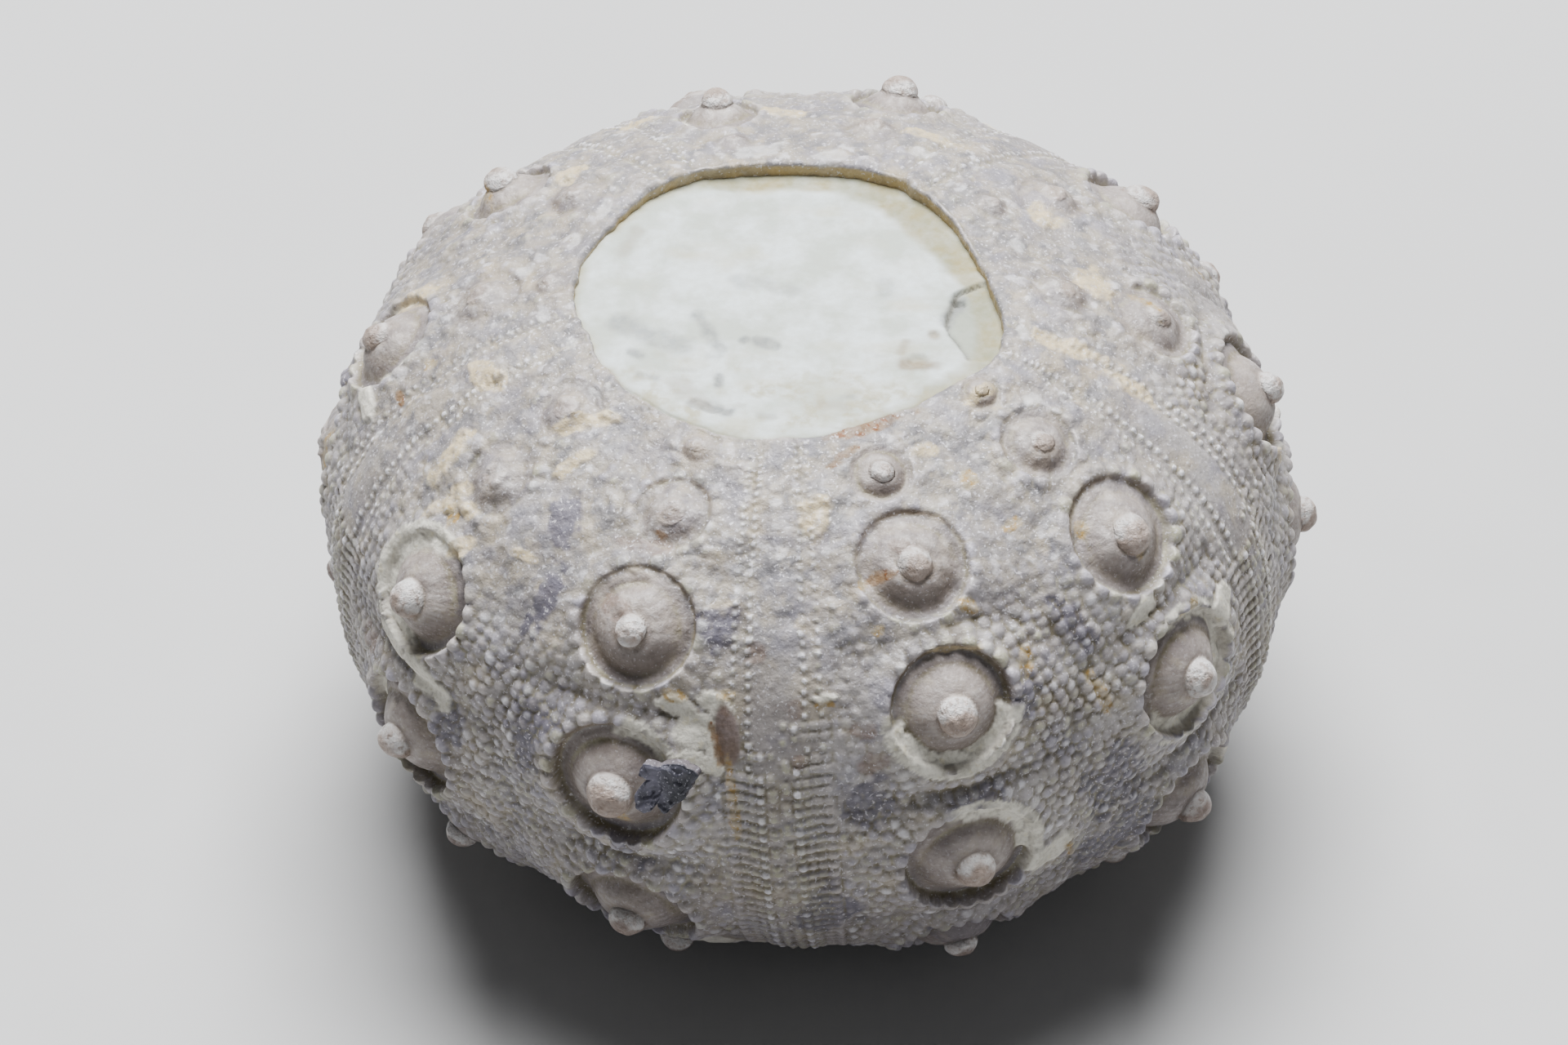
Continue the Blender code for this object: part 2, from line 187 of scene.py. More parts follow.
# Wear: the rubbed top reaches lower on the left, and leaves part of the beads.
TOP_LENGTHS, TOP_RAGGED, TOP_BLOTCHED = (9.5, 15.0), 2.2, 1.2
TOP_LEFT, TOP_LEFT_AZIMUTH = 2.4, math.radians(-150)
RUBBED_SHARE, RUBBED_NOISE_RAMP = 0.8, (0.35, 0.75)
# Painted shade: the lengths over which the skin darkens towards the bottom.
LOW_SHADE_LENGTHS = (1.5, -7.0)

# Noise as (size, seed), some with a number of layers. The usual number is three.
NOISES = {
    "areole": (0.9, 40), "outline": (1.6, 41), "wall": (2.2, 42), "knob": (0.5, 43), "off round": (0.7, 44),
    "ground": (0.8, 45), "under": (1.2, 46), "chalk turn": (1.3, 60), "chalk lumps": (0.6, 61),
    "chalk edge": (0.6, 62), "cap": (0.8, 70), "rim": (1.4, 90, 4), "top": (6.0, 100), "rubbed": (4.0, 110),
    "sway": (5.0, 120), "lumps": (1.3, 125), "grain": (0.5, 130, 2), "bead heights": (1.5, 135),
    "beads kept": (2.6, 136), "crust": (0.8, 140), "vein": (0.5, 144), "suture": (1.0, 150),
    "fill": (4.5, 300), "fill lumps": (0.9, 305), "crack": (1.2, 310), "pit": (0.7, 320),
    "stroke": (0.6, 330), "margin": (1.8, 340), "front": (0.9, 345), "front lumps": (0.5, 346),
    "stain": (2.4, 350), "smear": (1.0, 360), "foot": (1.2, 370), "chip layers": (1.1, 500),
    "chip lumps": (0.45, 510), "chip edge": (0.35, 520), "chip pale": (0.8, 530), "chip side": (0.3, 540),
}


def smoothstep(low, high, x):
    """0 below low, 1 above high, and a smooth ramp between."""
    f = np.clip((x - low) / (high - low), 0.0, 1.0)
    return f * f * (3 - 2 * f)


def band(x, low, full, fade, end):
    """1 between full and fade, and smooth ramps down to low and end."""
    return smoothstep(low, full, x) * smoothstep(end, fade, x)


def bell(x, half, middle=0.0):
    """A smooth hump, 1 at its middle."""
    return np.exp(-(((x - middle) / half) ** 2))


def unturned(angle):
    """The angle between -pi and pi."""
    return (angle + math.pi) % (2 * math.pi) - math.pi


# ---------------------------------------------------------------- the body


def halves(polar, inset=0.0):
    """The rise and the power of the body's profile at a polar angle, on the half it falls in."""
    upper = np.cos(polar) >= 0
    rise = np.where(upper, TOP_RISE, UNDER_DROP) - inset
    return rise, np.where(upper, TOP_POWER, UNDER_POWER)


def pentagon(azimuth, radius):
    """How far the five corners push a level out or in, fading away from the openings."""
    fade = 1 - smoothstep(*PENTAGON_FADE_R, radius)
    return 1 + PENTAGON * np.cos(SECTORS * (azimuth - FRONT)) * fade


def body_profile(polar, inset=0.0):
    """The radius at a polar angle and the height over the ambitus."""
    rise, power = halves(polar, inset)
    radius = (RADIUS - inset) * np.abs(np.sin(polar)) ** (2 / power)
    return radius, rise * np.sign(np.cos(polar)) * np.abs(np.cos(polar)) ** (2 / power)


def body_point(azimuth, polar, inset=0.0):
    """The point of the smooth body at an azimuth and a polar angle, inset under its surface."""
    radius, height = body_profile(polar, inset)
    radius = radius * pentagon(azimuth, radius)
    x = radius * np.cos(azimuth) + LEAN[0] * height
    y = radius * np.sin(azimuth) + LEAN[1] * height
    return np.stack([x, y, height + AMBITUS_Z], axis=-1)


def body_angles(point):
    """The azimuth and the polar angle of a point on or near the body, undoing body_point."""
    height = point[..., 2] - AMBITUS_Z
    x = point[..., 0] - LEAN[0] * height
    y = point[..., 1] - LEAN[1] * height
    azimuth = np.arctan2(y, x)
    radius = np.hypot(x, y)
    radius = radius / pentagon(azimuth, radius)
    rise, power = halves(np.where(height >= 0, 0.0, math.pi))
    across = (radius / RADIUS) ** (power / 2)
    along = np.sign(height) * np.abs(height / rise) ** (power / 2)
    return azimuth, np.arctan2(across, along)


def body_axes(azimuth, polar):
    """Unit vectors along growing azimuth, towards the apex and out of the body, at its points."""
    step = 1e-4
    east = body_point(azimuth + step, polar) - body_point(azimuth - step, polar)
    north = body_point(azimuth, polar - step) - body_point(azimuth, polar + step)
    east /= np.linalg.norm(east, axis=-1, keepdims=True)
    out = np.cross(east, north)
    out /= np.linalg.norm(out, axis=-1, keepdims=True)
    return east, np.cross(out, east), out


def polar_at_radius(radius, upper, inset=0.0):
    """The polar angle where the body has a given radius, on its upper or its lower half."""
    power = TOP_POWER if upper else UNDER_POWER
    angle = math.asin((radius / (RADIUS - inset)) ** (power / 2))
    return angle if upper else math.pi - angle


def meridian():
    """Polar angles down the body, with the length from the ambitus and the radius at each."""
    polar = np.linspace(0.0, math.pi, MERIDIAN_STEPS)
    radius, height = body_profile(polar)
    length = np.concatenate([[0.0], np.cumsum(np.hypot(np.diff(radius), np.diff(height)))])
    return polar, length[MERIDIAN_STEPS // 2] - length, radius


POLARS, LENGTHS, RADII = meridian()


def polar_at(length):
    """The polar angle at a length from the ambitus."""
    return np.interp(-np.asarray(length), -LENGTHS, POLARS)


def length_at(polar):
    """The length from the ambitus at a polar angle."""
    return np.interp(polar, POLARS, LENGTHS)


def radius_at(length):
    """The body's radius at a length from the ambitus."""
    return np.interp(-np.asarray(length), -LENGTHS, RADII)


def skin_point(azimuth, length):
    """The body's point at a place on the skin."""
    return body_point(azimuth, polar_at(length))


APEX_POLAR = polar_at_radius(APEX_OPENING_R, True)
MOUTH_POLAR = polar_at_radius(MOUTH_OPENING_R, False)
TOP, BOTTOM = float(length_at(APEX_POLAR)), float(length_at(MOUTH_POLAR))


def crowding(length):
    """1 at the ambitus, falling towards the openings, where plates are short and narrow."""
    return np.cos(math.pi / 2 * np.clip(length / PITCH_REACH, -1, 1))


def ambulacrum_width(length):
    """Half the width of an ambulacrum, which narrows towards the openings."""
    return AMBULACRUM_HALF * crowding(length) ** 0.5


def tubercles():
    """Every large tubercle: its name, azimuth, length, areole radius and wear."""
    found = []
    turns = 2 * PITCH_REACH / math.pi
    for area in range(SECTORS):
        middle = FRONT + SECTOR * (area + 0.5) + COLUMN_SKEW
        for side in (-1, 1):
            for step in STEPS:
                name = (area, side, step)
                pitch = step if side < 0 else step + 0.5
                length = turns * math.asin(math.tanh(pitch * AMBITUS_PITCH / turns))
                radius = AREOLE_R * crowding(length) ** AREOLE_TAPER
                wear = float(smoothstep(*WEAR_SPAN, length))
                radius, wear = SINGLES.get(name, (radius, wear))
                room = min(TOP - length, length - BOTTOM) - OPENING_MARGIN
                radius = min(radius, room / CREST_REACH)
                if radius >= SMALLEST_AREOLE_R or name in SINGLES:
                    found.append((name, middle + side * COLUMN_OFFSET, length, radius, wear))
    return found


# ---------------------------------------------------------------- noise

# Odd multipliers that scatter the bits of a cell's whole numbers.
HASH_KEYS = [np.uint64(key) for key in (0x9E3779B97F4A7C15, 0xC2B2AE3D27D4EB4F, 0x165667B19E3779F9)]
HASH_MIX = np.uint64(0xBF58476D1CE4E5B9)
CELL_OFFSET = 4096


def mixed_bits(cells, seed):
    """Even random numbers between -1 and 1 for whole-numbered cells."""
    keys = cells.astype(np.uint64)
    bits = keys[..., 0] * HASH_KEYS[0]
    bits ^= keys[..., 1] * HASH_KEYS[1]
    bits ^= keys[..., 2] * HASH_KEYS[2] + np.uint64(seed)
    bits ^= bits >> np.uint64(29)
    bits *= HASH_MIX
    bits ^= bits >> np.uint64(32)
    return (bits >> np.uint64(40)).astype(np.float64) / 2**23 - 1


def noise(points, size, seed):
    """Smooth noise between -1 and 1 with features about a size across."""
    cell = points / size
    low = np.floor(cell)
    t = cell - low
    t = t * t * (3 - 2 * t)
    low = low.astype(np.int64) + CELL_OFFSET
    total = np.zeros(points.shape[:-1])
    for corner in np.ndindex(2, 2, 2):
        weight = np.prod(np.where(corner, t, 1 - t), axis=-1)
        total += weight * mixed_bits(low + np.array(corner), seed)
    return total


def layered_noise(points, size, seed, layers=3):
    """Noise with finer layers, each half as wide and half as strong as the last."""
    total = np.zeros(points.shape[:-1])
    for layer in range(layers):
        total += noise(points, size / 2**layer, seed + layer) / 2**layer
    return total / 1.5


def rough(points, kind):
    """Layered noise of one of the named kinds."""
    return layered_noise(points, *NOISES[kind])


# ---------------------------------------------------------------- the net


class Net:
    """The skin's rows of points, apex first. A row holds five equal sectors and starts on the -Y side."""

    def __init__(self):
        arc = np.linspace(0, math.pi / 2, RIM_ARC_STEPS + 1)[1:]
        wall = np.arange(RIM_WALL_STEP, RIM_DEPTH, RIM_WALL_STEP)
        reach = np.concatenate([RIM_ROUNDING * np.sin(arc), np.full(len(wall), RIM_ROUNDING)])
        sink = np.concatenate([RIM_ROUNDING * (1 - np.cos(arc)), RIM_ROUNDING + wall])
        lengths = np.linspace(TOP, BOTTOM, int((TOP - BOTTOM) / ROW_STEP) + 1)
        edge = len(reach)
        none = np.zeros(len(lengths))
        self.row_length = np.concatenate([np.full(edge, TOP), lengths, np.full(edge, BOTTOM)])
        self.row_reach = np.concatenate([reach[::-1], none, -reach])
        self.row_sink = np.concatenate([sink[::-1], none, sink])
        self.row_radius = radius_at(self.row_length)
        self.first_row = edge
        self.row_step = lengths[0] - lengths[1]
        self.share = np.round(self.row_radius * SECTOR / POINT_STEP).astype(int)
        self.count = self.share * SECTORS
        self.start = np.concatenate([[0], np.cumsum(self.count)])
        self.row = np.repeat(np.arange(len(self.count)), self.count)
        self.column = np.arange(self.start[-1]) - self.start[self.row]
        self.azimuth = FRONT + 2 * math.pi * self.column / self.count[self.row]
        self.length = self.row_length[self.row]

    def index(self, row, column):
        """The places of points given by rows and by columns that may run past a row's ends."""
        return self.start[row] + column % self.count[row]

    def near_rows(self, length, reach):
        """The places of all points in the rows within a reach of a length."""
        first = max(0, self.first_row + int((TOP - length - reach) / self.row_step) - 1)
        last = min(len(self.count) - 1, self.first_row + int((TOP - length + reach) / self.row_step) + 2)
        return np.arange(self.start[first], self.start[last])

    def beside(self, down):
        """The nearest point of each point in the row above or below."""
        row = np.clip(self.row + down, 0, len(self.count) - 1)
        column = np.round(self.column * self.count[row] / self.count[self.row]).astype(int)
        return self.index(row, column)

    def blur(self, values, times):
        """Values averaged with their neighbours' some times over."""
        near = (self.index(self.row, self.column - 1), self.index(self.row, self.column + 1),
                self.beside(-1), self.beside(1))
        for _ in range(times):
            values = 0.2 * (values + sum(values[place] for place in near))
        return values

    def triangles(self):
        """The corners of one sector's triangles, as rows and columns counted from the sector's start."""
        found = []
        for row in range(len(self.share) - 1):
            upper, lower = self.share[row], self.share[row + 1]
            upper_middles = (np.arange(upper) + 0.5) / upper
            lower_middles = (np.arange(lower) + 0.5) / lower
            a, b = np.arange(upper), np.arange(lower)
            meets = np.searchsorted(lower_middles, upper_middles, "left")
            found.append(np.stack([row + 0 * a, a, row + 1 + 0 * a, meets, row + 0 * a, a + 1], axis=-1))
            meets = np.searchsorted(upper_middles, lower_middles, "right")
            found.append(np.stack([row + 1 + 0 * b, b, row + 1 + 0 * b, b + 1, row + 0 * b, meets], axis=-1))
        corners = np.concatenate(found).reshape(-1, 3, 2)
        return corners[..., 0], corners[..., 1]


def stamp(net, fields, beads, kind):
    """Presses domes into one of the net's height fields.

    A bead with a stretch is a capsule, tilted by its slope.
    """
    azimuth, length, radius, height, stretch, slope, tone = beads.T
    power = np.where(stretch > 0, FLAT, ROUND)
    last = len(net.count) - 1
    rows = net.first_row + np.round((TOP - length) / net.row_step).astype(int)
    rows = np.clip(rows, net.first_row, last)
    high = int(np.ceil((radius + stretch * np.abs(slope)).max() / net.row_step))
    wide = int(np.ceil((radius + stretch).max() / POINT_STEP)) + 1
    for down in range(-high, high + 1):
        row = np.clip(rows + down, 0, last)
        centre = np.round(unturned(azimuth - FRONT) / (2 * math.pi) * net.count[row]).astype(int)
        along = net.row_length[row] - length
        for right in range(-wide, wide + 1):
            place = net.index(row, centre + right)
            across = unturned(net.azimuth[place] - azimuth) * net.row_radius[row]
            turned = across * np.cos(slope) + along * np.sin(slope)
            side = along * np.cos(slope) - across * np.sin(slope)
            far = np.hypot(np.maximum(np.abs(turned) - stretch, 0.0), side) / radius
            dome = np.clip(1 - far**2, 0.0, 1.0)
            high_here = height * dome**power
            wins = high_here > fields[kind][place]
            fields["tone"][place[wins]] = tone[wins]
            np.maximum.at(fields[kind], place, high_here)


# ---------------------------------------------------------------- beads


def clear_of_areoles(places, marks, reach, spare):
    """Which places on the skin lie outside every areole."""
    points = skin_point(places[:, 0], places[:, 1])
    keep = np.ones(len(places), bool)
    for _, azimuth, length, radius, _ in marks:
        keep &= np.linalg.norm(points - skin_point(azimuth, length), axis=1) > reach * radius + spare
    return keep


def across_ambulacrum(azimuth, length):
    """The distance from the middle of the nearest ambulacrum, negative on its left."""
    turn = (azimuth - FRONT + SECTOR / 2) % SECTOR - SECTOR / 2
    return turn * radius_at(length)


def granules(marks, rng):
    """The small beads that cover the plates between the areoles, in rows that follow the plates."""
    rows = []
    for row, length in enumerate(np.arange(BOTTOM + 0.35, TOP - 0.3, GRANULE_PITCH * GRANULE_ROW)):
        count = int(2 * math.pi * radius_at(length) / GRANULE_PITCH)
        shift = 0.5 * (row % 2) + GRANULE_SHIFT * rng.uniform(-1, 1, count)
        turn = (np.arange(count) + shift) * 2 * math.pi / count
        drift = GRANULE_DRIFT * rng.uniform(-1, 1, count)
        rows.append(np.column_stack([FRONT + turn, length + drift]))
    places = np.concatenate(rows)
    beyond = np.abs(across_ambulacrum(places[:, 0], places[:, 1])) - ambulacrum_width(places[:, 1])
    keep = (beyond > BORDER_ROOM) & clear_of_areoles(places, marks, RING_REACH, GRANULE_ROOM)
    keep &= rng.random(len(places)) > GRANULES_LOST
    places, beyond = places[keep], beyond[keep]
    size = 1 + GRANULE_SPREAD * rng.uniform(-1, 1, len(places))
    size -= BORDER_SHRINK * (1 - smoothstep(0.0, BORDER_REACH, beyond))
    none = np.zeros(len(places))
    return np.column_stack([places, GRANULE_R * size, GRANULE_H * size, none, none, rng.random(len(places))])


def ring_beads(marks, rng):
    """The larger beads that stand round each areole."""
    found = np.zeros((0, 7))
    for mark in marks:
        _, azimuth, length, radius, _ = mark
        others = [m for m in marks if m is not mark]
        reach = RING_REACH * radius + 0.02
        count = max(6, round(2 * math.pi * reach / RING_PITCH))
        phi = 2 * math.pi * (np.arange(count) + RING_SHIFT * rng.uniform(-1, 1, count)) / count
        east, north, _ = body_axes(azimuth, polar_at(length))
        circle = np.outer(np.cos(phi), east) + np.outer(np.sin(phi), north)
        ring_azimuth, ring_polar = body_angles(skin_point(azimuth, length) + reach * circle)
        places = np.column_stack([ring_azimuth, length_at(ring_polar)])
        keep = clear_of_areoles(places, others, RING_CLEAR, 0.0)
        keep &= (places[:, 1] < TOP - 0.35) & (places[:, 1] > BOTTOM + 0.3)
        if len(found):
            points = skin_point(places[:, 0], places[:, 1])
            there = skin_point(found[:, 0], found[:, 1])
            gaps = np.linalg.norm(points[:, None] - there[None], axis=-1).min(axis=1)
            keep &= gaps > RING_ROOM
        size = (1 + RING_SPREAD * rng.uniform(-1, 1, count)) * (0.72 + 0.28 * radius / AREOLE_R)
        tone = 0.9 * rng.random(count)
        beads = np.column_stack([places, RING_R * size, RING_H * size, 0 * size, 0 * size, tone])
        found = np.concatenate([found, beads[keep]])
    return found


def ambulacral_spots(ridged, side, big, rng):
    """One side of one row of an ambulacrum: across, along, radius, height, stretch, slope and tone."""
    if ridged:
        return [
            (2.2, 0.12, 0.215, 0.15, 0.07, side * 0.2, 0.3),
            (1.72, 0.08, 0.215, 0.17, 0.07, side * 0.15, 0.45),
            (1.26, 0.04, 0.21, 0.17, 0.03, side * 0.1, 0.55),
            (0.84, 0.0, 0.235 + 0.03 * big, 0.2 + 0.04 * big, 0.0, 0.0, 0.65 + 0.2 * big),
            (0.31, 0.13 * (2 * big - 1), 0.25, 0.2 + 0.03 * big, 0.0, 0.0, 0.6),
        ]
    spots = [(1.36, 0.0, 0.2, 0.19, 0.0, 0.0, 0.9), (2.1, 0.08, 0.19, 0.16, 0.0, 0.0, 0.8)]
    if rng.random() < 0.35:
        spots.append((0.2 + 0.7 * rng.random(), 0.2 * rng.uniform(-1, 1), 0.14, 0.06, 0.0, 0.0, 0.4))
    return spots


def ambulacral_beads(rng):
    """The beads of every ambulacrum: ridges and bead columns below, worn to pairs of small beads above."""
    found = []
    for sector in range(SECTORS):
        middle = FRONT + SECTOR * sector
        for side in (-1, 1):
            length = BOTTOM + 0.4 + 0.25 * rng.random()
            row = 0
            while length < TOP - 0.3:
                narrow = ambulacrum_width(length) / AMBULACRUM_HALF
                ridged = length + RIDGED_RAGGED * rng.uniform(-1, 1) < RIDGED_BELOW
                for spot in ambulacral_spots(ridged, side, row % 2, rng):
                    across, along, radius, height, stretch, slope, tone = spot
                    tone = min(1.0, tone + 0.25 * rng.random())
                    x = side * across * narrow + 0.04 * rng.uniform(-1, 1)
                    s = length + along + 0.035 * rng.uniform(-1, 1)
                    scale = 0.86 + 0.28 * rng.random()
                    found.append((middle + x / radius_at(s), s, radius * scale * narrow**0.5, height * scale,
                                  stretch * narrow, slope, tone))
                length += PORE_PITCH * max(0.72, crowding(length) ** 0.35) * rng.uniform(0.95, 1.05)
                row += 1
    return np.array(found)


# ---------------------------------------------------------------- stains, crusts and painted sheen

# Patches on the skin: (azimuth in degrees, length, half width, half height, tilt in degrees).
CHALK_PATCHES = (
    (-99.6, 7.9, 1.0, 0.9, 20), (-102.2, 8.7, 0.8, 0.5, 0), (-97.6, 9.1, 0.9, 0.6, -30),
    (-98.0, 7.6, 0.3, 1.6, 5), (-100.8, 6.4, 0.8, 0.5, 10), (-98.0, 6.2, 0.7, 0.4, -15),
    (-83.5, 9.6, 0.7, 0.22, 5), (-66, 0.2, 1.3, 0.6, 10), (-60, -1.4, 1.5, 1.1, 0),
    (-137, 4.6, 1.6, 0.8, -35), (-143, 5.0, 1.3, 0.6, -10), (-28.5, 5.6, 1.2, 0.7, 30),
    (-41, 8.6, 0.9, 0.5, 10), (-103, -9.5, 1.6, 1.0, 0), (-30, -3.8, 1.4, 0.8, 20), (20, 4.5, 1.8, 0.9, 40),
    (35, -5.0, 1.5, 1.2, 0), (64, 9.0, 1.6, 0.7, -20), (92, 2.0, 1.6, 1.0, 30), (118, -6.0, 2.0, 1.0, 0),
    (141, 8.0, 1.4, 0.8, 10), (170, 0.5, 1.6, 0.9, -25), (-165, -7.0, 1.7, 1.1, 15),
    (-172, 10.5, 1.3, 0.6, 0),
)
OCHRE_PATCHES = (
    (-62.5, 12.5, 0.7, 0.4, -35), (-76.2, 12.3, 0.3, 0.25, 0), (-49.6, 6.2, 0.3, 1.5, 12),
    (-58.0, 9.4, 0.35, 0.8, -20), (-142.5, 12.2, 0.4, 0.3, -18), (-95.4, 4.4, 0.22, 2.4, 3),
    (-96.4, 9.6, 0.4, 0.25, 0), (-102.5, 9.3, 0.5, 0.25, 0), (-84.0, 9.3, 0.45, 0.16, 5),
    (-53.0, 17.4, 0.6, 0.35, 20), (-50.5, 15.0, 0.6, 0.3, -10), (-33.5, 7.2, 0.7, 0.25, 20),
    (-170.5, 14.5, 0.5, 0.4, 50), (4.5, 15.3, 0.8, 0.35, 30), (25, 9.0, 0.3, 1.5, 15),
    (-77.0, 14.4, 0.5, 0.3, 20), (78, 12.0, 0.8, 0.4, 0), (108, 6.0, 0.35, 1.8, -12),
    (150, 14.5, 0.9, 0.4, 30), (-178, 5.0, 0.3, 1.6, 20), (60, -3.0, 0.4, 1.4, 0), (130, -9.0, 0.4, 1.5, 25),
    (-20, -9.0, 0.4, 1.2, -15), (-125, -8.5, 0.4, 1.2, 10), (-41.5, 13.2, 0.35, 0.3, 0),
    (-38.0, 10.9, 0.3, 0.3, 0), (-56, -2.0, 0.3, 1.0, 20), (-108, 3.0, 0.3, 0.6, 0),
)
CREAM_PATCHES = (
    (-150.7, 14.0, 0.6, 1.7, 8), (-145.0, 12.6, 0.5, 1.5, -18), (-138.5, 11.3, 0.45, 1.0, -30),
    (-134.2, 19.6, 0.5, 2.0, -38), (-131.6, 17.2, 0.5, 1.2, -20), (-140.5, 12.9, 0.6, 0.5, 0),
    (-128.5, 12.8, 1.0, 0.35, 10), (-12.5, 19.0, 0.6, 2.2, 6), (-14.5, 15.5, 0.5, 1.8, 4),
    (-36.5, 21.2, 0.9, 0.5, 10), (-160, 17.5, 1.2, 0.8, 20), (-83.5, 18.0, 0.8, 1.0, 0),
    (-58, 19.5, 0.8, 0.5, -10), (8, 17.5, 1.3, 0.9, 0), (30, 18.5, 1.0, 0.7, 30), (62, 19.0, 1.4, 0.5, 0),
    (95, 17.5, 1.2, 0.8, -20), (120, 15.0, 1.0, 1.0, 0), (140, 18.0, 1.0, 0.6, 0), (172, 13.0, 0.8, 1.5, 10),
    (80, 3.0, 0.5, 2.0, 10), (-172, -6.0, 0.5, 2.0, -10), (45, 1.0, 0.5, 2.0, -20), (-2, 6.0, 0.5, 1.5, 10),
    (-66, 10.9, 1.5, 0.25, -10),
)
# A smooth brown lens beside the front ambulacrum, and the rusty edge on its left.
BROWN_LENS = (-96.0, 7.7, 0.62, 1.75, 5)
LENS_EDGE = (-97.2, 7.2, 0.2, 1.25, 12)
RUST_PATCHES = (
    (-66.5, 22.1, 1.7, 0.55, 0), (-74.0, 21.0, 0.5, 0.22, 10), (-77.5, 20.6, 0.35, 0.25, 0), LENS_EDGE,
    (-74.5, 14.6, 0.6, 0.3, 10), (-109.5, 16.2, 0.5, 0.25, 0), (95, 10.0, 0.5, 0.3, 0),
    (-168, 12.5, 0.5, 0.25, 0),
)
BROWN_PATCHES = (
    (-111.5, 15.5, 1.5, 0.5, 8), (-87.5, 6.6, 0.35, 0.35, 0), (-79.5, 8.0, 0.6, 0.5, 0),
    (-79.0, 6.4, 0.7, 0.6, 0), (-100.5, 8.6, 0.4, 0.35, 0), (-87.7, 9.1, 0.35, 0.45, 0),
    (-92.5, 11.5, 0.7, 0.5, 20), (-112.0, 12.6, 0.9, 0.5, 10), (-70.0, 15.8, 0.8, 0.4, -10),
    (35, 12.0, 1.2, 0.8, 0), (110, 12.0, 1.2, 0.8, 0), (160, 6.0, 1.2, 0.8, 0), (-150, 3.0, 0.8, 0.8, 0),
)
VIOLET_PATCHES = (
    (-49.4, 1.0, 1.6, 2.2, 0), (-50.1, 9.8, 0.8, 1.6, 10), (-66.6, 3.6, 1.4, 0.9, 0),
    (-125.6, 15.2, 0.7, 1.3, 20), (-122.8, 11.1, 0.7, 2.0, 0), (-120.2, 5.3, 1.2, 2.4, -10),
    (-46.6, -3.0, 1.6, 1.6, 0), (-98.0, 12.6, 1.0, 1.4, 0), (-80.0, 4.0, 1.2, 1.6, 0),
    (-108, 1.0, 1.0, 1.6, 0), (-60, 8.0, 0.9, 1.0, 0), (-68, -6.5, 2.0, 1.5, 0), (-49.0, 0.6, 1.2, 1.6, 10),
    (-51.0, -3.5, 1.5, 1.2, 0), (-133, 3.0, 1.0, 1.6, 0), (-85, -3.0, 1.6, 2.0, 0), (25, 4.0, 1.4, 2.0, 0),
    (80, 8.0, 1.6, 1.6, 0), (125, 1.0, 1.6, 2.4, 0), (175, 8.0, 1.4, 1.6, 0),
)
# Painted sheen: bright spots beside the opening.
RIM_SHEEN_SPOTS = (
    (100.9, 21.4, 1.3, 0.5, 0), (81.4, 21.8, 1.0, 0.45, 0), (149.1, 21.5, 0.9, 0.35, 20),
    (-14.0, 21.5, 0.45, 0.3, 0), (-157.6, 21.6, 0.45, 0.3, 0), (163.0, 21.2, 0.6, 0.3, 10),
    (172.0, 19.0, 0.6, 0.4, 0), (-170.0, 21.0, 0.5, 0.3, 0), (60.0, 20.5, 0.6, 0.3, 20),
    (20.0, 20.4, 0.5, 0.4, 0), (-30.0, 19.2, 0.5, 0.3, 0), (-140.0, 21.0, 0.5, 0.25, 10),
)
RIM_SHEEN_SHARE = 0.7
# Places that are rubbed smooth though they are low on the test.
RUBBED_PATCHES = (
    (-83, 9.5, 3.6, 6.5, 0), (-98, 13.0, 3.0, 4.5, 0), (-119, 12.5, 2.2, 2.2, 20), (-129, 15.5, 3.0, 3.5, 0),
    (-57, 12.5, 2.2, 1.8, -20), (-101, -8.5, 4.0, 2.5, 0), (-62, -12.0, 5.0, 2.5, 10), (15, 9.0, 4.5, 4.0, 0),
    (70, 11.0, 5.0, 3.0, 10), (125, 10.0, 5.0, 3.5, -10), (165, 4.0, 4.0, 5.0, 0), (90, -6.0, 4.0, 3.0, 0),
)
# Each kind of patch: its places, how ragged its edges are and its seed.
PATCH_KINDS = {
    "rubbed": (RUBBED_PATCHES, 0.5, 1000),
    "lens": ((BROWN_LENS,), 0.12, 900),
    "chalk": (CHALK_PATCHES, 0.6, 200),
    "ochre": (OCHRE_PATCHES, 0.9, 400),
    "cream": (CREAM_PATCHES, 0.7, 1200),
    "rust": (RUST_PATCHES, 0.7, 600),
    "brown": (BROWN_PATCHES, 0.5, 700),
    "violet": (VIOLET_PATCHES, 0.8, 800),
    "rim sheen": (RIM_SHEEN_SPOTS, 0.8, 1400),
}
PATCH_NOISE, PATCH_SEED_STEP, PATCH_REACH, PATCH_RAMP = 0.7, 7, 2.0, (0.75, 1.05)

# Chalk left in the areoles: (interambulacrum, side, step) to (middle angle, half angle, level, inner edge),
# with angles in degrees and lengths in areole radii. Behind, some areoles get a fill by chance.
CHALK_FILLS = {
    (0, -1, 1): (-95, 92, 0.03, 0.77),
    (0, 1, 0): (-25, 135, 0.00, 0.74),
    (4, -1, 1): (178, 100, 0.03, 0.62),
    (0, -1, 0): (50, 62, 0.03, 0.48),
    (4, -1, 0): (120, 60, -0.03, 0.75),
    (0, 1, -1): (60, 70, -0.02, 0.7),
    (4, 1, 0): (62, 30, 0.03, 0.84),
}
CHALK_FILL_SHARE, CHALK_FILL_WEAR = 0.45, 0.6
CHANCE_FILLS = ((-180, 180), (40, 100), (-0.05, 0.02), (0.55, 0.85))
SEEN_AREAS = (0, 4)
# How white each cap is: partly chalk, partly painted highlight.
CAP_CHALK_AND_HIGHLIGHT = {
    (4, -1, 1): 1.0, (0, 1, 0): 1.0, (0, -1, 1): 0.8, (4, 1, 1): 1.0, (0, -1, 3): 0.9, (4, 1, 0): 0.5,
}


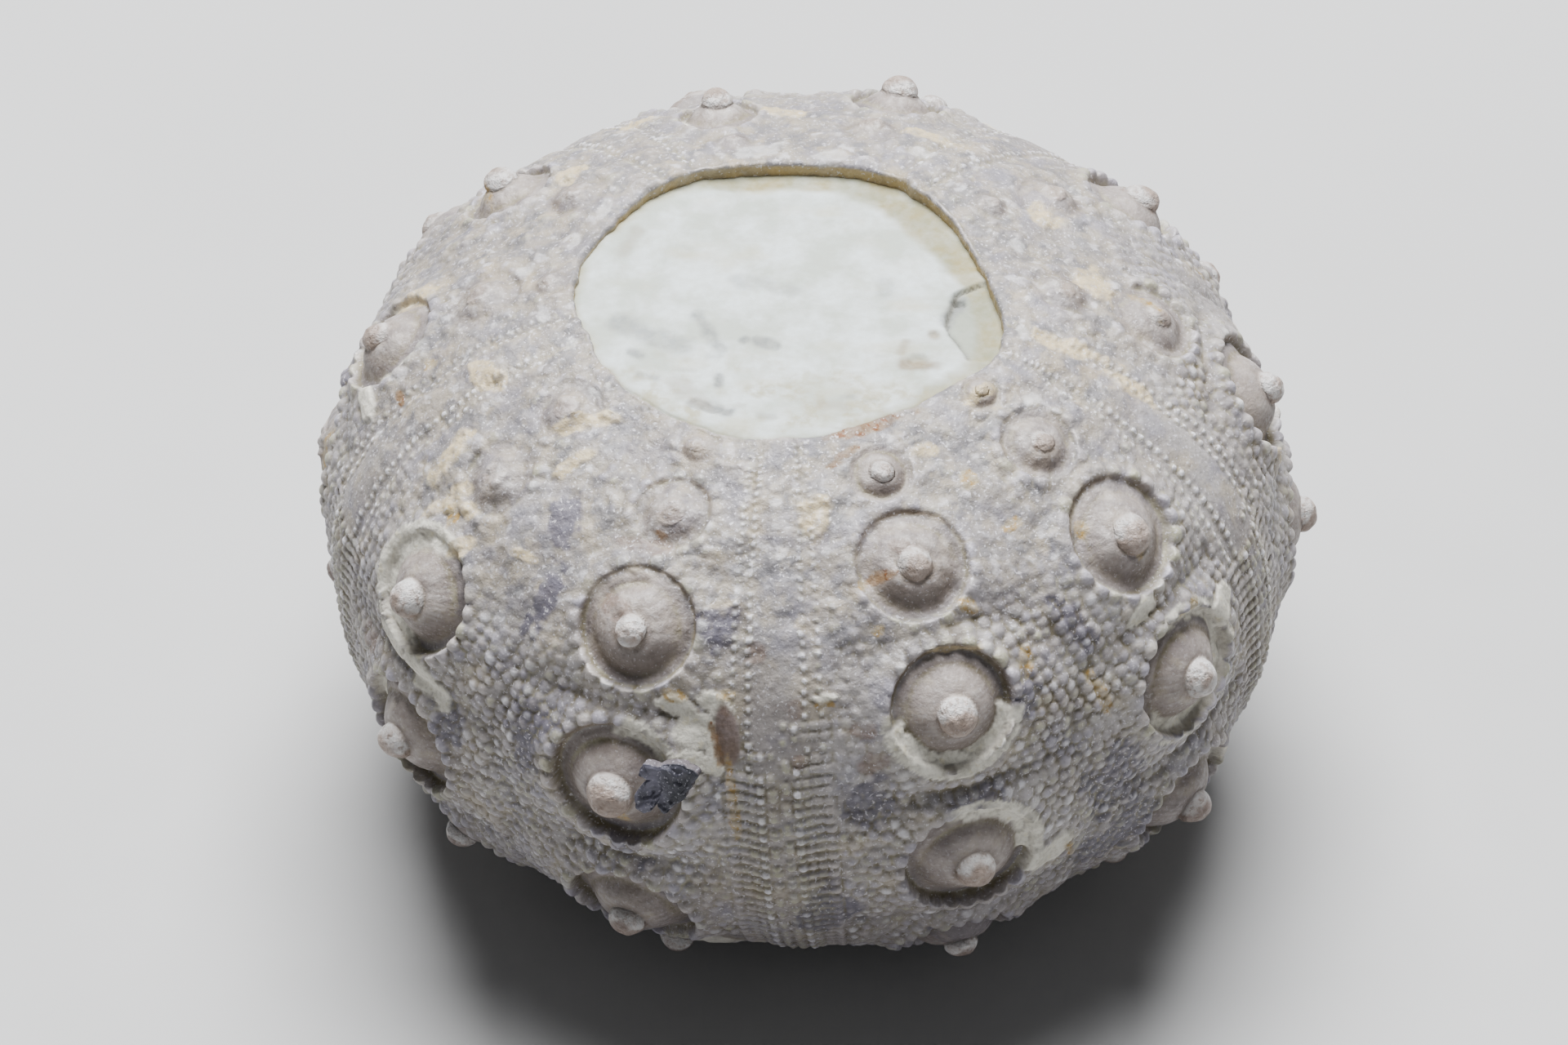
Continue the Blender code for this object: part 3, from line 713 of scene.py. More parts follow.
def patches_mask(net, points, kind):
    """How far each point lies inside the ragged patches of a kind, from 0 to 1."""
    patches, ragged, seed = PATCH_KINDS[kind]
    mask = np.zeros(len(points))
    for number, (azimuth, length, wide, high, tilt) in enumerate(patches):
        across = unturned(net.azimuth - math.radians(azimuth)) * radius_at(net.length)
        along = net.length - length
        c, s = math.cos(math.radians(tilt)), math.sin(math.radians(tilt))
        far = np.hypot((across * c + along * s) / wide, (along * c - across * s) / high)
        near = far < PATCH_REACH
        edge = far[near] + ragged * layered_noise(points[near], PATCH_NOISE, seed + PATCH_SEED_STEP * number)
        mask[near] = np.maximum(mask[near], 1 - smoothstep(*PATCH_RAMP, edge))
    return mask


# ---------------------------------------------------------------- the skin

# The channels of each colour mask that the skin's mesh carries for its material.
SKIN_MASKS = {
    "beads": ("crest", "cavity", "hollow"),
    "form": ("top", "wear", "suture"),
    "spot": ("tone", "cream", "low"),
    "pit": ("boss", "ground", "lens"),
    "shade": ("under",),
    "crust": ("chalk", "ochre", "rust"),
    "tint": ("brown", "violet", "wall"),
    "knob": ("cap", "capchalk", "moat"),
}


def smooth_profile(knots):
    """A profile's reach, true radius and height, sampled evenly and softened between its knots."""
    knots = np.array(knots)
    reach = np.linspace(0, PROFILE_REACH, PROFILE_STEPS)
    kernel = np.hanning(PROFILE_SOFTNESS + 2)[1:-1]
    kernel /= kernel.sum()
    pad = PROFILE_SOFTNESS // 2
    sampled = []
    for column, sign in ((1, -1), (2, 1)):
        values = np.interp(reach, knots[:, 0], knots[:, column])
        beyond = 2 * values[-1] - values[-2 : -2 - pad : -1]
        padded = np.concatenate([sign * values[pad:0:-1], values, beyond])
        sampled.append(np.convolve(padded, kernel, "valid"))
    return reach, *sampled


PROFILES = smooth_profile(WHOLE_PROFILE), smooth_profile(WORN_PROFILE)


def tubercle_shape(name, here, phi, lam, wear, size):
    """The true radius and the height at points round a tubercle, and how much of its wall is gone there."""
    (reach, *whole), (_, *worn) = PROFILES
    fresh = 1 - wear
    off_round = lam * (1 + OUTLINE_CHANGE * rough(here, "outline") * smoothstep(*OUTLINE_RAMP, lam))
    true, rise = (fresh * np.interp(off_round, reach, a) + wear * np.interp(off_round, reach, b)
                  for a, b in zip(whole, worn))
    gone = WALL_WEAR.get(name, WALL_WEAR_SHARE * wear) - WALL_SPARED + WALL_RAGGED * rough(here, "wall")
    gone = np.clip(gone, 0.0, 1.0) * smoothstep(*WALL_RAMP, lam)
    rise = rise * (1 - WALL_LOSS * gone)
    # The boss reaches nearly to the wall above, and the floor rises gently to it below.
    above, below = smoothstep(*ABOVE, np.sin(phi)), smoothstep(*BELOW, np.sin(phi))
    rise += FLOOR_ABOVE * above * band(true, *FLOOR_ABOVE_BAND) * fresh
    rise += FLOOR_BELOW * below * band(true, *FLOOR_BELOW_BAND) * fresh
    # The mamelon has a size of its own, lumps and a pit in its tip.
    true = true * (1 + size * smoothstep(*MAMELON_RAMP, lam))
    rise += size * np.maximum(rise - MAMELON_BASE, 0.0) * fresh
    rise += (AREOLE_LUMPS[0] + AREOLE_LUMPS[1] * wear) * rough(here, "areole") * smoothstep(*AREOLE_RAMP, lam)
    knob = smoothstep(*KNOB_RAMP, lam)
    rise += (KNOB_LUMPS[0] + KNOB_LUMPS[1] * wear) * rough(here, "knob") * knob
    rise -= TIP_PIT * fresh * bell(lam, TIP_PIT_HALF)
    return true * (1 + KNOB_OFF_ROUND * rough(here, "off round") * knob), rise, gone


def chalk_in_moat(fill, here, phi, true, rise):
    """How much chalk fills the moat at points round a tubercle: the new height and the chalk's share."""
    middle, half, level, inner = fill
    turn = np.abs(unturned(phi - math.radians(middle))) + 0.3 * rough(here, "chalk turn")
    inside = 1 - smoothstep(-0.12, 0.04, turn - math.radians(half))
    inside *= smoothstep(inner, inner + 0.035, true + 0.09 * rough(here, "chalk edge"))
    lumps = 0.022 * rough(here, "chalk lumps") + 0.012 * np.sign(noise(here, 0.9, 63))
    deep = np.where(true < 1.22, level + 0.13 * (true - 1.1) + lumps - rise, -1.0)
    return rise + inside * np.maximum(deep, 0.0), inside * smoothstep(-0.03, 0.0, deep)


def tubercle_masks(here, phi, lam, true, wear, gone, chalky):
    """Where the parts of a tubercle, the dirt and chalk on it, and its painted shade and highlights are, for
    its colours.
    """
    above, below = smoothstep(*ABOVE, np.sin(phi)), smoothstep(*BELOW, np.sin(phi))
    fresh = 1 - wear
    # Painted shadow under the upper wall, partly dirt, and painted shade at the mamelon's neck, most below
    # it, and in the pit of its tip.
    wall = band(true, 0.95, 1.0, 1.03, 1.08) * above * (1 - gone)
    neck = 0.8 * band(lam, 0.31, 0.36, 0.4, 0.46) * (0.3 + 0.7 * below) * fresh
    pit = 0.7 * bell(lam, 0.05) * fresh
    # Painted shade on the areole's floor, stronger on its east side.
    ground = smoothstep(0.74, 0.92, true + 0.06 * rough(here, "ground")) * smoothstep(1.02, 0.97, true)
    ground *= (0.35 + 0.5 * smoothstep(-0.2, 0.7, np.cos(phi))) * (1 - gone)
    # Painted shade on the lower slope of the boss.
    under = band(true, 0.40, 0.5, 0.7, 0.88) * below * (1 - 0.3 * wear)
    cap = smoothstep(0.4, 0.33, lam) * (1 - 0.6 * wear)
    # White lies on the upper side of the cap, off its very tip: partly chalk, partly painted highlight.
    collar = smoothstep(0.1, 0.26, lam) * smoothstep(-0.5, 0.7, np.sin(phi))
    cover = chalky - 1.04 + 1.05 * collar + 0.7 * rough(here, "cap")
    return {
        "areole": smoothstep(1.04, 0.98, true) * (1 - 0.7 * gone),
        "moat": np.maximum(np.maximum(wall, neck), pit),
        "boss": smoothstep(0.98, 0.9, true) * (1 - 0.6 * wear),
        "ground": ground,
        "under": under * smoothstep(-0.7, 0.2, rough(here, "under")),
        "cap": cap,
        "capchalk": cap * smoothstep(-0.2, 0.2, cover),
    }


def shape_tubercles(net, points, marks, fields, rng):
    """Moves the points round each tubercle onto its areole, boss and mamelon, and notes where they are."""
    for name, azimuth, length, radius, solid_wear in marks:
        wear = SEEN_WEAR.get(name, solid_wear)
        centre = skin_point(azimuth, length)
        axes = np.stack(body_axes(azimuth, polar_at(length)))
        span = net.near_rows(length, PROFILE_REACH * radius * PROFILE_SPARE)
        x, y, z = axes @ (points[span] - centre).T
        lam = np.hypot(x, y) / radius
        near = (lam < PROFILE_REACH) & (np.abs(z) < radius)
        span, x, y, z, lam = span[near], x[near], y[near], z[near], lam[near]
        here = points[span]
        phi = np.arctan2(y, x)
        size = MAMELON_SIZES.get(name, rng.uniform(*USUAL_MAMELON_SIZES)) - 1
        true, rise, gone = tubercle_shape(name, here, phi, lam, wear, size)
        fill = CHALK_FILLS.get(name)
        if fill is None and rng.random() < CHALK_FILL_SHARE:
            if name[0] not in SEEN_AREAS and wear < CHALK_FILL_WEAR:
                fill = [rng.uniform(*span_of) for span_of in CHANCE_FILLS]
        # The cap's white: partly chalk, partly painted highlight.
        chalky = CAP_CHALK_AND_HIGHLIGHT.get(name, 0.25 + 0.6 * rng.random())
        masks = tubercle_masks(here, phi, lam, true, wear, gone, chalky)
        if fill is not None:
            rise, masks["chalk"] = chalk_in_moat(fill, here, phi, true, rise)
            masks["buried"] = masks["chalk"] * smoothstep(1.3, 1.2, true)
        for key, mask in masks.items():
            fields[key][span] = np.maximum(fields[key][span], mask)
        # The mamelons lean towards the apex above and away from it below.
        lean = TIP_UP * smoothstep(*TIP_UP_LENGTHS, length) - TIP_DOWN * smoothstep(*TIP_DOWN_LENGTHS, length)
        ratio = np.where(lam > 1e-6, true / np.maximum(lam, 1e-6), 1.0)
        tipped = y * ratio - lean * np.maximum(rise, 0.0) * radius
        moved = np.stack([x * ratio, tipped, z * ratio**2 + rise * radius], axis=-1)
        points[span] = centre + moved @ axes


def rim_change(azimuth):
    """How far the broken rim of the apical opening stands outside the body's even rim."""
    turns, changes = np.array(RIM_OUTLINE).T
    change = np.interp(np.degrees(unturned(azimuth)), turns, changes, period=360)
    circle = RIM_CIRCLE_R * np.stack([np.cos(azimuth), np.sin(azimuth), 0 * azimuth], axis=-1)
    return change + RIM_RAGGED * rough(circle, "rim") + RIM_CHIPPED * noise(circle, 0.35, 95)


def level_north(azimuth, polar):
    """The unit vector towards the apex, kept level, and the one out of the body."""
    _, north, out = body_axes(azimuth, polar)
    level = north * np.array([1, 1, 0])
    return level / np.linalg.norm(level, axis=-1, keepdims=True), out


def plate_relief(smooth, marks, beyond):
    """The swells round the areoles less the valleys between plates, and where the sutures and valleys are."""
    nearest = np.full(len(smooth), 1e3)
    second = np.full(len(smooth), 1e3)
    swell = np.zeros(len(smooth))
    for name, azimuth, length, radius, wear in marks:
        far = np.linalg.norm(smooth - skin_point(azimuth, length), axis=1)
        second = np.minimum(second, np.maximum(nearest, far))
        nearest = np.minimum(nearest, far)
        strength = radius / AREOLE_R * (1 - 0.6 * SEEN_WEAR.get(name, wear))
        swell = np.maximum(swell, strength * bell(far / radius, SWELL_HALF, SWELL_REACH))
    gap = (second - nearest) * 0.5 + SUTURE_RAGGED * rough(smooth, "suture")
    clear = smoothstep(0.0, 0.6, beyond)
    valley = bell(gap, VALLEY_HALF) * clear * (1 - np.minimum(1.3 * swell, 1.0))
    return SWELL_HEIGHT * swell - VALLEY_DEPTH * valley, bell(gap, SUTURE_HALF) * clear, valley


def lay_net():
    """The net, its points on the smooth body inside the broken rim, and their directions outward."""
    net = Net()
    shift = -rim_change(net.azimuth) * smoothstep(TOP - RIM_BLEND, TOP, net.length)
    polar = polar_at(net.length + shift)
    points = body_point(net.azimuth, polar)
    level, out = level_north(net.azimuth, polar)
    reach, sink = net.row_reach[net.row][:, None], net.row_sink[net.row][:, None]
    points += reach * level - sink * np.where(reach > 0, 1.0, -1.0) * np.array([0.0, 0.0, 1.0])
    return net, points, out


def note_wear(net, smooth, fields):
    """Where the skin is worn: the top, most of all on the left, and some places below it."""
    left = np.cos(net.azimuth - TOP_LEFT_AZIMUTH)
    high = net.length + TOP_RAGGED * rough(smooth, "top") + TOP_LEFT * left
    fields["top"] = smoothstep(*TOP_LENGTHS, high + TOP_BLOTCHED * noise(smooth, 2.0, 103))
    rubbed = smoothstep(*RUBBED_NOISE_RAMP, rough(smooth, "rubbed"))
    fields["rubbed"] = np.maximum(patches_mask(net, smooth, "rubbed"), rubbed)
    fields["wear"] = np.maximum(fields["top"], RUBBED_SHARE * fields["rubbed"])


def raise_relief(net, points, smooth, out, marks, fields):
    """Moves the points out by the furrows, sutures, lumps, beads and crusts on the plates."""
    top, wear, rubbed, lens = (fields[key] for key in ("top", "wear", "rubbed", "lens"))
    outside = 1 - fields["areole"]
    chalk = patches_mask(net, smooth, "chalk") * outside * (1 - lens)
    fields["chalk"] = np.maximum(fields["chalk"], chalk)
    half = ambulacrum_width(net.length)
    distance = np.abs(across_ambulacrum(net.azimuth, net.length))
    across = distance / half
    plate, suture, valley = plate_relief(smooth, marks, distance - half)
    suture = suture * outside * (1 - 0.8 * top)
    furrow = KEEL_HEIGHT * bell(across, KEEL_HALF) - FURROW_DEPTH * bell(across, FURROW_HALF, FURROW_MIDDLE)
    border = -BORDER_DEPTH * bell(across, BORDER_HALF, BORDER_MIDDLE) * (1 - top)
    lumps = SWAY * rough(smooth, "sway") + (LUMPS + TOP_LUMPS * top) * rough(smooth, "lumps")
    grain = (GRAIN + WORN_GRAIN * wear) * rough(smooth, "grain")
    base = (furrow + border - SUTURE_DEPTH * suture + plate * (1 - 0.5 * top)) * outside + lumps + grain
    # Wear takes most of the beads, but keeps more of them here and there.
    heights = 0.75 + 0.25 * rough(smooth, "bead heights")
    kept = smoothstep(-0.4, 0.5, rough(smooth, "beads kept"))
    plates = fields["plates"] * (1 - (0.9 - 0.4 * kept) * wear) * heights
    pores = fields["pores"] * (1 - (0.55 - 0.25 * kept) * top - 0.15 * rubbed * (1 - top)) * heights
    ring = fields["ring"] * (1 - (0.8 - 0.3 * kept) * wear)
    beads = np.maximum(np.maximum(plates, pores), ring) * (1 - lens) * outside * (1 - 0.9 * fields["buried"])
    crust = CRUST + CRUST_RAGGED * rough(smooth, "crust")
    covered = np.maximum(beads * (1 - CRUST_COVER * chalk), chalk * crust)
    vein = VEIN_HEIGHT * fields["cream"] * smoothstep(-0.2, 0.4, rough(smooth, "vein"))
    stains = (OCHRE_RAGGED * fields["ochre"] * noise(smooth, 0.3, 145) + vein) * outside
    relief = base + covered + stains + LENS_HEIGHT * lens
    still = np.where(np.abs(net.row_reach[net.row]) > 0, RIM_STILL, 1.0)
    points += (relief * still)[:, None] * out
    fields["suture"] = np.maximum(suture, 0.6 * valley * outside * (1 - 0.5 * top))
    fields["tone"] = np.where(covered > 0.02, fields["tone"], 0.5)


def lay_skin():
    """The net, its points moved onto the finished skin, and the fields that tell what is where."""
    net, points, out = lay_net()
    smooth = points.copy()
    rng = np.random.default_rng(SEED)
    marks = tubercles()
    zeros = ("plates", "pores", "ring", "tone", "chalk", "buried", "areole", "moat", "boss", "ground",
             "under", "cap", "capchalk")
    fields = {key: np.zeros(len(points)) for key in zeros}
    shape_tubercles(net, points, marks, fields, rng)
    stamp(net, fields, granules(marks, rng), "plates")
    stamp(net, fields, ambulacral_beads(rng), "pores")
    stamp(net, fields, ring_beads(marks, rng), "ring")
    note_wear(net, smooth, fields)
    for kind in ("lens", "ochre", "cream", "rust", "brown", "violet"):
        fields[kind] = patches_mask(net, smooth, kind)
    # Painted sheen: bright spots beside the opening, laid on the caps' white.
    spots = RIM_SHEEN_SHARE * patches_mask(net, smooth, "rim sheen")
    fields["capchalk"] = np.maximum(fields["capchalk"], spots)
    raise_relief(net, points, smooth, out, marks, fields)
    height = np.einsum("ij,ij->i", points - smooth, out)
    close, far = net.blur(height, 3), net.blur(height, 45)
    # Bead tips: paler partly in their own colour and partly as painted highlight.
    fields["crest"] = smoothstep(0.004, 0.045, height - close) * (1 - 0.7 * fields["chalk"])
    # Crevices between the beads, darkened partly as dirt and partly as painted shade.
    fields["cavity"] = smoothstep(0.006, 0.05, close - height)
    # Painted shade: broad hollows, such as the moats, are darkened.
    fields["hollow"] = smoothstep(0.03, 0.4, far - height)
    # Painted shade: where the skin darkens towards the bottom.
    fields["low"] = smoothstep(*LOW_SHADE_LENGTHS, net.length)
    fields["wall"] = (np.abs(net.row_reach[net.row]) > RIM_ROUNDING * 0.9).astype(float)
    return net, points, fields


def corner_normals(points, faces):
    """Each point's normal, from the faces round it weighted by their size."""
    a, b, c = points[faces[:, 0]], points[faces[:, 1]], points[faces[:, 2]]
    face = np.cross(b - a, c - a)
    sums = [np.bincount(faces.ravel(), np.repeat(face[:, k], 3), len(points)) for k in range(3)]
    total = np.stack(sums, axis=-1)
    return total / np.maximum(np.linalg.norm(total, axis=1, keepdims=True), 1e-12)


def add_object(name, data):
    """A new object in the scene."""
    made = bpy.data.objects.new(name, data)
    bpy.context.scene.collection.objects.link(made)
    return made


def fill_mesh(name, points, faces, uv, masks, normals=None):
    """A mesh object from millimetre points and triangles, with a bake map and colour masks."""
    mesh = bpy.data.meshes.new(name)
    mesh.vertices.add(len(points))
    mesh.vertices.foreach_set("co", (points * MM).astype(np.float32).ravel())
    mesh.loops.add(faces.size)
    mesh.loops.foreach_set("vertex_index", faces.astype(np.int32).ravel())
    mesh.polygons.add(len(faces))
    mesh.polygons.foreach_set("loop_start", np.arange(0, faces.size, 3, dtype=np.int32))
    mesh.update(calc_edges=True)
    layer = mesh.uv_layers.new(name="OFBake")
    layer.data.foreach_set("uv", uv[faces.ravel()].astype(np.float32).ravel())
    for mask, columns in masks.items():
        colours = np.zeros((len(points), 4), np.float32)
        colours[:, : len(columns)] = np.column_stack(columns)
        colours[:, 3] = 1.0
        attribute = mesh.color_attributes.new(mask, "FLOAT_COLOR", "POINT")
        attribute.data.foreach_set("color", colours.ravel())
    mesh.shade_smooth()
    if normals is not None:
        mesh.normals_split_custom_set_from_vertices(normals.astype(np.float32))
    return add_object(name, mesh)


def dress_test(material):
    """The skin in five sectors, one mesh each."""
    net, points, fields = lay_skin()
    rows, columns = net.triangles()
    shares = net.share + 1
    local_start = np.concatenate([[0], np.cumsum(shares)])
    local_faces = local_start[rows] + columns
    local_rows = np.repeat(np.arange(len(shares)), shares)
    local_columns = np.arange(local_start[-1]) - local_start[local_rows]
    whole = [net.index(rows, columns + sector * net.share[rows]) for sector in range(SECTORS)]
    normals = corner_normals(points, np.concatenate(whole))
    steps = [np.diff(line) for line in (net.row_length, net.row_reach, net.row_sink)]
    path = np.concatenate([[0.0], np.cumsum(np.linalg.norm(steps, axis=0))])
    for sector in range(SECTORS):
        place = net.index(local_rows, local_columns + sector * net.share[local_rows])
        middle = (local_columns / net.share[local_rows] - 0.5) * SECTOR * net.row_radius[local_rows]
        uv = np.stack([0.5 + middle / path[-1], 1 - path[local_rows] / path[-1]], axis=-1) * 0.98 + 0.01
        masks = {mask: [fields[key][place] for key in keys] for mask, keys in SKIN_MASKS.items()}
        piece = fill_mesh(f"test_sector_{sector + 1}", points[place], local_faces, uv, masks, normals[place])
        piece.data.materials.append(material)
        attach(piece, "root")
        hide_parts("test")


# ---------------------------------------------------------------- the sediment

FILL_RINGS = 84
FILL_TURN_STEP = 0.125
FILL_CENTRE_SHARE = 0.008
FILL_DEPTH, FILL_TILT = 0.34, -0.02
FILL_SWAY, FILL_LUMPS = 0.07, 0.02
MARGIN_DEPTH, FRONT_LUMPS = 0.12, 0.03

# Where the fill's darker margin begins, as a share of the way to the rim, by azimuth in degrees.
FILL_MARGIN = (
    (-90, 1.0), (-60, 0.985), (-40, 0.95), (-20, 0.9), (0, 0.86), (20, 0.82), (40, 0.78), (58, 0.79),
    (75, 0.87), (90, 0.87), (105, 0.86), (120, 0.92), (140, 0.96), (180, 0.985), (-140, 0.985),
)

# The crack beside the slab: its y and x at a few places, and the slab's ends in y.
CRACK_LINE = ((-4.9, 7.7), (-4.1, 7.3), (-2.5, 6.5), (-1.7, 6.6), (-0.25, 7.0), (0.4, 7.8), (0.8, 8.6))
CRACK_RAGGED, CRACK_HALF, CRACK_DEPTH = 0.25, 0.1, 0.22
SLAB_ENDS, SLAB_END_BLEND = (-5.0, 0.9), 0.5
SLAB_DROP = 0.22

# The fill inside the test, the foot's flank as its inset from the mouth's rim and its height, and the
# foot's rings on the floor.
INNER_RINGS, INNER_START, INNER_SPARE = 8, 0.12, 0.05
FOOT_STEPS = ((0.45, 1.6), (0.42, 1.1), (0.4, 0.7), (0.5, 0.4), (0.72, 0.14), (0.95, 0.02), (1.15, 0.0))
FOOT_RAGGED, FOOT_RAGGED_RISE = 0.12, 2.5
FOOT_SHARES = (0.8, 0.7, 0.55, 0.07)

# Pits in the fill (x, y, half width, depth), and grey marks and brown stains (from x, y to x, y, half width,
# strength).
FILL_PITS = (
    (5.4, -4.95, 0.62, 0.2), (7.1, -0.8, 0.38, 0.3), (-3.7, -8.35, 0.6, 0.1), (-3.5, -6.5, 0.3, 0.08),
    (-1.4, -0.1, 0.6, 0.05), (2.9, 3.4, 0.7, 0.05), (-5.8, 2.2, 0.8, 0.06), (3.4, -7.9, 0.5, 0.07),
    (6.0, -3.2, 0.25, 0.1),
)
FILL_MARKS = (
    (-8.2, -2.8, -5.3, -4.4, 0.6, 0.7), (-4.7, -2.2, -3.5, -4.4, 0.34, 0.8),
    (-2.5, -3.85, -2.45, -3.8, 0.26, 0.9), (-1.9, -3.8, -1.15, -4.1, 0.3, 0.9),
    (-3.52, -6.25, -3.48, -6.8, 0.25, 1.0), (-4.5, -8.1, -2.95, -8.6, 0.32, 1.2),
    (-3.1, 0.25, -0.4, -0.4, 0.45, 0.45), (3.65, 0.4, 3.68, -0.4, 0.4, 0.4),
    (7.13, -0.5, 7.08, -1.1, 0.36, 1.5), (6.79, -1.5, 6.6, -2.3, 0.32, 1.0),
    (-7.6, -4.8, -7.1, -5.0, 0.28, 0.8), (-7.0, -6.3, -6.3, -6.5, 0.26, 0.6),
    (-4.0, -4.9, -3.6, -4.9, 0.25, 0.4), (-1.5, -8.8, -0.9, -8.9, 0.2, 0.35),
    (2.1, -7.6, 2.5, -7.5, 0.18, 0.4),
)
FILL_STAINS = (
    (4.85, -5.3, 5.9, -5.25, 0.4, 1.1), (6.0, -3.15, 6.05, -3.25, 0.26, 0.8),
    (1.2, -8.0, 2.2, -8.2, 0.4, 0.4), (-7.9, 3.6, -8.3, 2.2, 0.4, 0.4),
    (-5.5, -6.6, -4.2, -8.0, 0.5, 0.4), (4.6, -4.4, 4.75, -3.7, 0.22, 0.6),
)
FILL_MASKS = {
    "fill": ("stain", "smear", "margin"),
    "pits": ("hollow", "gap", "slab"),
    "marks": ("grey", "brown", "front"),
}


def rim_outline(azimuth):
    """The inner wall of the apical opening, as points level with its rim."""
    polar = polar_at(TOP - rim_change(azimuth))
    return body_point(azimuth, polar) + RIM_ROUNDING * level_north(azimuth, polar)[0]


def capsule_distance(x, y, ends):
    """The distance from each point to a stroke between two points."""
    ax, ay, bx, by = ends
    along = np.clip(((x - ax) * (bx - ax) + (y - ay) * (by - ay)) / ((bx - ax) ** 2 + (by - ay) ** 2), 0, 1)
    return np.hypot(x - ax - along * (bx - ax), y - ay - along * (by - ay))


def stroke_mask(surface, strokes):
    """The union of some ragged strokes on the fill."""
    mask = np.zeros(len(surface))
    for *ends, half, strength in strokes:
        far = capsule_distance(surface[:, 0], surface[:, 1], ends) / half + 0.5 * rough(surface, "stroke")
        mask = np.maximum(mask, strength * (1 - smoothstep(0.3, 1.5, far)))
    return np.minimum(mask, 1.0)


def fill_surface(azimuth):
    """The top of the fill, as rings from its centre to the rim, with its masks."""
    rim = rim_outline(azimuth)
    rim_z = float(body_point(FRONT, APEX_POLAR)[2])
    centre = rim[:, :2].mean(axis=0)
    shares = np.linspace(FILL_CENTRE_SHARE, 1.0, FILL_RINGS)
    flat = centre + (rim[None, :, :2] - centre) * shares[:, None, None]
    surface = np.concatenate([flat, np.full((*flat.shape[:2], 1), rim_z)], axis=-1).reshape(-1, 3)
    x, y = surface[:, 0], surface[:, 1]
    z = -FILL_DEPTH + FILL_TILT * (y - centre[1])
    z += FILL_SWAY * rough(surface, "fill") + FILL_LUMPS * rough(surface, "fill lumps")
    # A broken slab at the right edge, parted by a crack.
    line_y, line_x = np.array(CRACK_LINE).T
    crack = x - np.interp(y, line_y, line_x) + CRACK_RAGGED * rough(surface, "crack")
    low, high = SLAB_ENDS
    beside = band(y, low, low + SLAB_END_BLEND, high - SLAB_END_BLEND, high)
    masks = {"slab": smoothstep(-0.05, 0.15, crack) * beside, "gap": bell(crack, CRACK_HALF) * beside}
    z -= SLAB_DROP * masks["slab"] + CRACK_DEPTH * masks["gap"]
    hollow = np.zeros(len(surface))
    for px, py, half, deep in FILL_PITS:
        far = np.hypot(x - px, (y - py) * 1.2) / half + 0.3 * rough(surface, "pit")
        inside = 1 - smoothstep(0.4, 1.0, far)
        hollow = np.maximum(hollow, inside * min(1.0, deep * 6))
        z -= deep * inside
    # The margin slopes down to the wall, most of all at the back and on the right.
    turn, inner = np.array(FILL_MARGIN).T
    inner = np.interp(np.degrees(np.arctan2(y - centre[1], x - centre[0])), turn, inner, period=360)
    share = np.repeat(shares, len(azimuth)) - inner
    margin = smoothstep(-0.04, 0.05, share + 0.03 * rough(surface, "margin"))
    front = smoothstep(-3.0, -7.5, y) * smoothstep(-0.4, 0.5, rough(surface, "front"))
    z += FRONT_LUMPS * front * rough(surface, "front lumps") - MARGIN_DEPTH * margin
    grey, brown = (stroke_mask(surface, strokes) for strokes in (FILL_MARKS, FILL_STAINS))
    surface[:, 2] += z
    stain = smoothstep(0.15, 0.7, rough(surface * np.array([1.0, 1.8, 1.0]), "stain"))
    smear = smoothstep(0.3, 0.7, rough(surface * np.array([0.8, 2.2, 1.0]), "smear"))
    masks.update(hollow=hollow, grey=grey, brown=brown, margin=margin, front=front, stain=stain,
                 smear=smear * smoothstep(-1.0, -6.0, y))
    return surface, masks


def fill_below(azimuth):
    """The fill under its surface: the flanks inside the test and the foot under the mouth, as rings."""
    inset = WALL + GAP
    start = polar_at_radius(APEX_OPENING_R, True, inset) + INNER_START
    end = polar_at_radius(MOUTH_OPENING_R, False, inset)
    rings = [body_point(azimuth, np.full(len(azimuth), polar), inset + INNER_SPARE)
             for polar in np.linspace(start, end, INNER_RINGS)]
    mouth = body_point(azimuth, np.full(len(azimuth), MOUTH_POLAR))
    inward = mouth - mouth.mean(axis=0)
    inward /= np.linalg.norm(inward, axis=1, keepdims=True)
    ragged = FOOT_RAGGED * rough(mouth, "foot")
    for step, height in FOOT_STEPS:
        ring = mouth - inward * (step + ragged[:, None] * min(1.0, height * FOOT_RAGGED_RISE))
        ring[:, 2] = height
        rings.append(ring)
    centre = np.array([mouth[:, 0].mean(), mouth[:, 1].mean(), 0.0])
    for share in FOOT_SHARES:
        rings.append(centre + (rings[-1] - centre) * share)
    return rings


def ring_faces(total, count):
    """Triangles between rings of points, with both ends closed."""
    index = np.arange(total * count).reshape(total, count)
    a, b = index[:-1], index[1:]
    a_next, b_next = np.roll(a, -1, axis=1), np.roll(b, -1, axis=1)
    faces = [np.stack(corners, axis=-1).reshape(-1, 3) for corners in ((a, b, b_next), (a, b_next, a_next))]
    top, base = index[0], index[-1]
    faces.append(np.stack([np.full(count - 2, top[0]), top[1:-1], top[2:]], axis=-1))
    faces.append(np.stack([base[2:], base[1:-1], np.full(count - 2, base[0])], axis=-1))
    return np.concatenate(faces)


